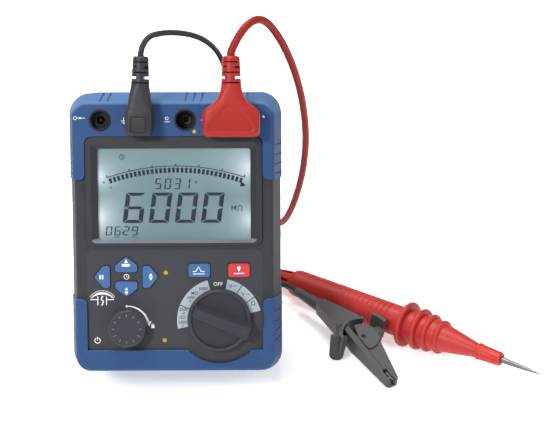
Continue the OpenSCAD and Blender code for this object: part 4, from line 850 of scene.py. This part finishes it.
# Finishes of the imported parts

class TESTER_OT_finishes(bpy.types.Operator):
    """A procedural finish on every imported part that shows"""

    bl_idname = "tester.finishes"
    bl_label = "Finishes"

    def execute(self, context):
        tones = context.scene.tester_colours
        steel = metal("plated_steel", (0.5, 0.5, 0.5))
        dull = metal("dull_steel", (0.16, 0.155, 0.15), 0.4)
        dark = moulded("socket_moulding", (0.012, 0.012, 0.014), 0.3)
        wafer = moulded("switch_moulding", (0.55, 0.48, 0.27))
        # Edge factor above one: a painted highlight along the keys' edges
        blue_key = moulded("blue_key_moulding", tones.blue_key, 0.45, edge=1.4)
        knob = moulded("knob_moulding", tones.knob, 0.42)
        # Edge factor above one: a painted highlight along the case's edges
        case = moulded("case_moulding", tones.case, 0.6, grain=0.6, shine=0.15, edge=1.5)
        # Painted highlights: lighter along the guards' edges, and a lighter blue on their upward slopes
        guard = moulded("guard_moulding", tones.guard, 0.6, grain=0.5, soften=0.6, shine=0.15, edge=1.9,
                        slope=(0.066, 0.143, 0.283))
        green = board("solder_resist", (0.03, 0.16, 0.08))
        probe = moulded("probe_moulding", tones.probe, 0.42)
        # Painted highlights on the clip: lighter edges, and a lighter grey on its upper faces
        clip = moulded("clip_moulding", (0.038, 0.036, 0.035), 0.35, edge=1.4,
                       slope=(0.082, 0.077, 0.08))
        chip = moulded("chip_moulding", (0.015, 0.015, 0.017), 0.5)
        finishes = {
            case: ["front_case", "rear_case", "battery_door", "battery_tray"],
            guard: ["top_guard", "bottom_guard"],
            # Painted highlights on the bezel: lighter edges, and a lighter grey on its upward slopes
            moulded("bezel_moulding", shade(tones.case, 0.8), 0.5, edge=1.6,
                     slope=(0.17, 0.18, 0.21)): ["display_bezel"],
            window_glass("window_clear"): ["display_window"],
            display_glass("display_lit", tones.display): ["lcd_panel"],
            moulded("light_box_moulding", (0.8, 0.82, 0.82)): ["backlight_box"],
            moulded("label_film", tones.label, 0.48, grain=0.5): ["label_panel"],
            green: ["control_board", "main_board"],
            moulded("ferrite", (0.06, 0.055, 0.055)): ["hv_transformer"],
            moulded("sleeve", (0.04, 0.07, 0.2)): ["hv_capacitors"],
            # Painted shade: the clip's pin is near-black so that it reads as a dark dimple
            chip: ["board_chips", "test_switch", "clip_pin"],
            dark: ["socket_liners", "dc_socket"],
            metal("plated_contact", (0.1, 0.09, 0.07), 0.4): ["socket_contacts"],
            moulded("silicone", (0.6, 0.6, 0.6)): ["keypad_mat"],
            wafer: ["switch_wafer", "switch_rotor"],
            moulded("cell_sleeve", (0.4, 0.25, 0.06)): ["battery_cells"],
            moulded("ribbon", (0.45, 0.45, 0.47)): ["ribbon_cable"],
            moulded("tie_strap", (0.02, 0.02, 0.022), 0.7): ["coil_ties"],
            steel: ["battery_contacts", "door_screws", "case_screws", "stand_pin", "function_shaft",
                    "plug_pins", "clip_jaw_fixed", "clip_jaw_moving", "clip_spring"],
            dull: ["probe_tip"],
            knob: ["function_knob", "test_knob", "test_plunger"],
            blue_key: ["key_up", "key_down", "key_left", "key_right", "key_peak"],
            moulded("red_key_moulding", tones.red_key, 0.45): ["key_lamp"],
            moulded("stand_moulding", shade(tones.case, 0.8), 0.5): ["tilt_stand"],
            probe: ["probe_grip", "probe_shroud"],
            clip: ["clip_body", "clip_lever"],
        }
        for finish, names in finishes.items():
            for name in names:
                part = frame["nodes"][name]
                part.data.materials.clear()
                part.data.materials.append(finish)
        return {"FINISHED"}


# The display

class TESTER_OT_display(bpy.types.Operator):
    """Figures, scale and small marks of the display"""

    bl_idname = "tester.display"
    bl_label = "Display"

    def execute(self, context):
        dark = ink("display_ink", (0.01, 0.012, 0.024), 0.35)
        marks = Inlay(GLASS_BACK, 0.08)
        centre, line_r, spread = (1.0, 2.6), 144.7, 19.0
        marks.add(sector(centre, line_r - 0.28, line_r + 0.28, 90 - spread, 90 + spread, 60))
        for i in range(7):
            turn = 90 - spread + i * spread / 3
            marks.add(sector(centre, line_r, line_r + 1.7, turn - 0.16, turn + 0.16, 3))
        bars, reach = 32, 18.4
        for i in range(bars):
            turn = 90 + reach - i * 2 * reach / (bars - 1)
            marks.add(sector(centre, line_r - 4.6, line_r - 1.1, turn - 0.38, turn + 0.38, 3))
        marks.add(pointer((49.4, 133.6), -16, 4.0, 3.8))
        for x, z in ((-48.4, 136.0), (-43.6, 132.4)):
            marks.add(stroke([(x - 0.8, z), (x + 0.8, z)], 0.4))
            marks.add(stroke([(x, z - 0.8), (x, z + 0.8)], 0.4))
        marks.add_all(figures("5031", -13.6, 131.4, 4.4, 7.3, 0.95, 6.55))
        marks.add_all(figures("6000", -36.0, 108.0, 13.8, 20.9, 3.1, 18.0, slant=0.14))
        marks.add_all(figures("0629", -47.9, 99.4, 4.2, 6.2, 0.9, 5.95))
        for x in (-42.0, -30.0):
            marks.add(oblong(x, 98.1, x + 4.2, 98.5))
        for z in (101.2, 103.8):
            marks.add(disc((-36.5, z), 0.4, 12))
        marks.add_all(clock_sign(-35.9, 153.6, -0.2))
        marks.add_all(megohm_sign(40.8, 116.3, 120.0))
        letter(marks, "v", (15.0, 136.2), 4.6, bold=0.02)
        marks.build("display_marks", dark, "meter")
        return {"FINISHED"}


# Printing on the face

class TESTER_OT_printing(bpy.types.Operator):
    """Scale of the dial, marks of the keys and the sockets"""

    bl_idname = "tester.printing"
    bl_label = "Printing"

    def execute(self, context):
        self.dial_scale()
        self.label_marks()
        self.guard_marks()
        self.key_marks()
        return {"FINISHED"}

    def dial_scale(self):
        pale = ink("scale_ink", (0.36, 0.41, 0.45))
        dark = ink("scale_figures", (0.02, 0.022, 0.03))
        white = ink("white_ink", (0.8, 0.82, 0.84))
        ground = Inlay(FACE_DEPTH)
        centre = (DIAL[0] - 0.2, DIAL[1] - 1.1)
        inner, outer = 22.2, 29.3
        for start, end in ((57.9, 78.3), (34.4, 56.5), (13.6, 33.0), (105.9, 157.5), (158.9, 191.1)):
            ground.add(sector(centre, inner, outer, start, end, 40))
        ground.build("scale_ground", pale, "meter")
        top = Inlay(FACE_DEPTH - INK_RISE, 0.03)
        for text, place, size in (("500V", (19.4, 62.4), 3.0), ("MΩ", (13.3, 59.4), 3.0),
                                  ("1000", (10.6, 56.3), 2.9), ("V", (10.4, 53.6), 2.8),
                                  ("2500", (5.7, 48.0), 2.9), ("V", (5.7, 45.4), 2.8),
                                  ("GΩ", (4.9, 42.3), 2.9), ("5000", (4.9, 39.0), 2.9),
                                  ("V", (4.9, 36.4), 2.8), ("V", (38.2, 64.2), 3.8),
                                  ("V", (47.0, 58.6), 3.8), ("Ω", (53.9, 52.0), 4.4),
                                  ("~", (50.2, 58.7), 4.4)):
            letter(top, text, place, size, bold=0.02)
        top.add(oblong(39.8, 64.7, 42.8, 65.0))
        for x in (39.8, 41.0, 42.2):
            top.add(oblong(x, 63.8, x + 0.7, 64.1))
        top.build("scale_figures", dark, "meter")
        words = Inlay(FACE_DEPTH)
        letter(words, "OFF", (29.6, 65.6), 3.7, bold=0.01)
        words.build("off_mark", white, "meter")

    def label_marks(self):
        white = ink("label_ink", (0.8, 0.82, 0.84))
        yellow = ink("yellow_ink", (0.45, 0.25, 0.012))
        marks = Inlay(FACE_DEPTH)
        centre = (TEST[0] - 0.6, TEST[1] - 0.9)
        turn = np.linspace(90, 12, 40)
        marks.add(np.vstack([at_angle(centre, 15.3 + 0.3 * (90 - turn) / 78, turn),
                             at_angle(centre, 14.6 - 0.6 * (90 - turn) / 78, turn)[::-1]]))
        marks.add(disc(at_angle(centre, 14.9, 91), 0.85, 20))
        marks.add(pointer(at_angle(centre, 15.2, 2), -86, 3.6, 3.4))
        marks.add(oblong(-16.9, 35.0, -14.7, 37.0))
        marks.add(sector((-15.8, 37.0), 0.6, 1.0, 0, 180))
        for z in (75.2, 66.4):
            marks.add(stroke([(-33.5, z), (-33.5, z - 1.2)], 0.35))
        marks.add_all(clock_sign(-33.5, 71.1, -0.1))
        marks.add(sector((-54.2, 26.4), 1.6, 2.1, 110, 430, 40))
        marks.add(oblong(-54.45, 26.6, -53.95, 29.0))
        # The sign of a gate under an arc, thickest at its middle
        gate, half = (-50.4, 51.2), 30
        turn = np.linspace(half, 180 - half, 40)
        depth = 1.5 * np.sin(math.pi * (turn - half) / (180 - 2 * half)) + 0.15
        marks.add(np.vstack([at_angle(gate, 9.2, turn), at_angle(gate, 9.2 - depth, turn)[::-1]]))
        marks.add(sector(gate, 10.1, 10.4, half + 4, 176 - half, 30))
        for x in (-53.5, -47.5):
            marks.add(stroke([(x, 57.4), (x, 51.2)], 0.6))
        marks.add(stroke([(-58.6, 55.2), (-53.5, 55.2)], 0.6))
        marks.add(stroke([(-47.5, 55.2), (-42.2, 55.2)], 0.6))
        marks.add(stroke([(-50.0, 57.8), (-51.2, 55.4), (-49.6, 53.8), (-50.8, 51.0)], 0.9))
        marks.build("label_marks", white, "meter")
        cautions = Inlay(FACE_DEPTH)
        for centre in ((-6.3, 73.8), (-7.6, 26.5)):
            cautions.add(disc(centre, 1.5))
        cautions.build("yellow_marks", yellow, "meter")

    def guard_marks(self):
        white = ink("guard_ink", (0.75, 0.8, 0.88))
        marks = Inlay(0.0)
        x = SOCKETS["power"] - 13.6
        marks.add_all(hoop((x - 3.2, SOCKET_Z + 1.6), 1.1, 0.3))
        marks.add(stroke([(x - 2.0, SOCKET_Z + 1.6), (x + 3.4, SOCKET_Z + 1.6)], 0.35))
        marks.add(disc((x, SOCKET_Z + 1.6), 0.7, 16))
        x = SOCKETS["earth"] - 11.5
        for i, half in enumerate((1.9, 1.25, 0.6)):
            marks.add(oblong(x - half, SOCKET_Z - 0.6 - i * 0.9, x + half, SOCKET_Z - 0.25 - i * 0.9))
        marks.add(oblong(x - 0.18, SOCKET_Z - 0.25, x + 0.18, SOCKET_Z + 2.0))
        x = SOCKETS["guard"] - 12.4
        marks.add(oblong(x - 2.0, SOCKET_Z - 1.3, x + 2.0, SOCKET_Z - 0.95))
        marks.add_all(hoop((x, SOCKET_Z + 1.2), 1.0, 0.3))
        marks.add(oblong(19.0, SOCKET_Z - 0.2, 20.6, SOCKET_Z + 0.2))
        marks.add(pointer((61.6, SOCKET_Z + 3.6), 90, 2.0, 1.8))
        marks.build("guard_marks", white, "meter")
        yellow = ink("guard_yellow", (0.5, 0.36, 0.03))
        caution = Inlay(0.0)
        caution.add(disc((14.4, SOCKET_Z - 7.8), 1.2))
        caution.build("guard_caution", yellow, "meter")

    def key_marks(self):
        white = ink("key_ink", (0.8, 0.83, 0.88))
        top = FACE_DEPTH - 1.2
        places = {
            "key_up": [pointer((-33.5, 83.4), 90, 2.4, 2.6), oblong(-36.4, 78.4, -31.2, 80.2),
                       oblong(-31.0, 78.9, -30.6, 79.7)],
            "key_down": [pointer((-33.5, 58.6), -90, 2.4, 2.6), pointer((-33.5, 63.9), 90, 1.9, 2.4)],
            "key_left": [oblong(-51.9, 69.6, -51.0, 72.6), oblong(-50.2, 69.6, -49.3, 72.6)],
            "key_right": [pointer((-16.6, 73.7), 90, 2.0, 2.6), pointer((-16.6, 68.5), -90, 2.0, 2.6),
                          oblong(-18.0, 70.9, -15.2, 71.3)],
            "key_peak": [stroke([(12.4, 74.6), (14.6, 74.8), (16.4, 78.0), (18.2, 74.8), (20.6, 74.6)],
                                0.6), oblong(12.4, 72.8, 20.6, 73.3)],
            "key_lamp": [disc((44.2, 77.0), 1.2, 20), oblong(43.8, 74.8, 44.6, 76.2),
                         oblong(40.6, 73.0, 47.8, 73.6)],
        }
        for key, shapes in places.items():
            marks = Inlay(top)
            marks.add_all(shapes)
            marks.build(key + "_mark", white, key + "_cap")
        grey = ink("tick_ink", (0.19, 0.2, 0.205))
        ticks = Inlay(FACE_DEPTH - 11.0)
        for angle in range(0, 360, 30):
            ticks.add(stroke([at_angle(TEST, 8.4, angle), at_angle(TEST, 10.2, angle)], 0.4))
        ticks.build("test_knob_ticks", grey, "test_button")


# Registration

CLASSES = (TesterColours, TesterLeads, TesterStage, TESTER_OT_stage, TESTER_OT_finishes,
           TESTER_OT_plugs, TESTER_OT_spring, TESTER_OT_collar, TESTER_OT_leads, TESTER_OT_display,
           TESTER_OT_printing)
ORDER = ("stage", "finishes", "plugs", "spring", "collar", "leads", "display", "printing")


class TESTER_PT_panel(bpy.types.Panel):
    """Lists the steps that finish the tester"""

    bl_idname = "TESTER_PT_panel"
    bl_label = "Insulation tester"
    bl_space_type = "VIEW_3D"
    bl_region_type = "UI"
    bl_category = "Tester"

    def draw(self, context):
        for step in ORDER:
            self.layout.operator("tester." + step)


def register():
    for cls in CLASSES + (TESTER_PT_panel,):
        bpy.utils.register_class(cls)
    bpy.types.Scene.tester_colours = bpy.props.PointerProperty(type=TesterColours)
    bpy.types.Scene.tester_leads = bpy.props.PointerProperty(type=TesterLeads)
    bpy.types.Scene.tester_stage = bpy.props.PointerProperty(type=TesterStage)


def unregister():
    del bpy.types.Scene.tester_stage
    del bpy.types.Scene.tester_leads
    del bpy.types.Scene.tester_colours
    for cls in reversed(CLASSES + (TESTER_PT_panel,)):
        bpy.utils.unregister_class(cls)


def main():
    register()
    for step in ORDER:
        getattr(bpy.ops.tester, step)()


if __name__ == "__main__":
    main()
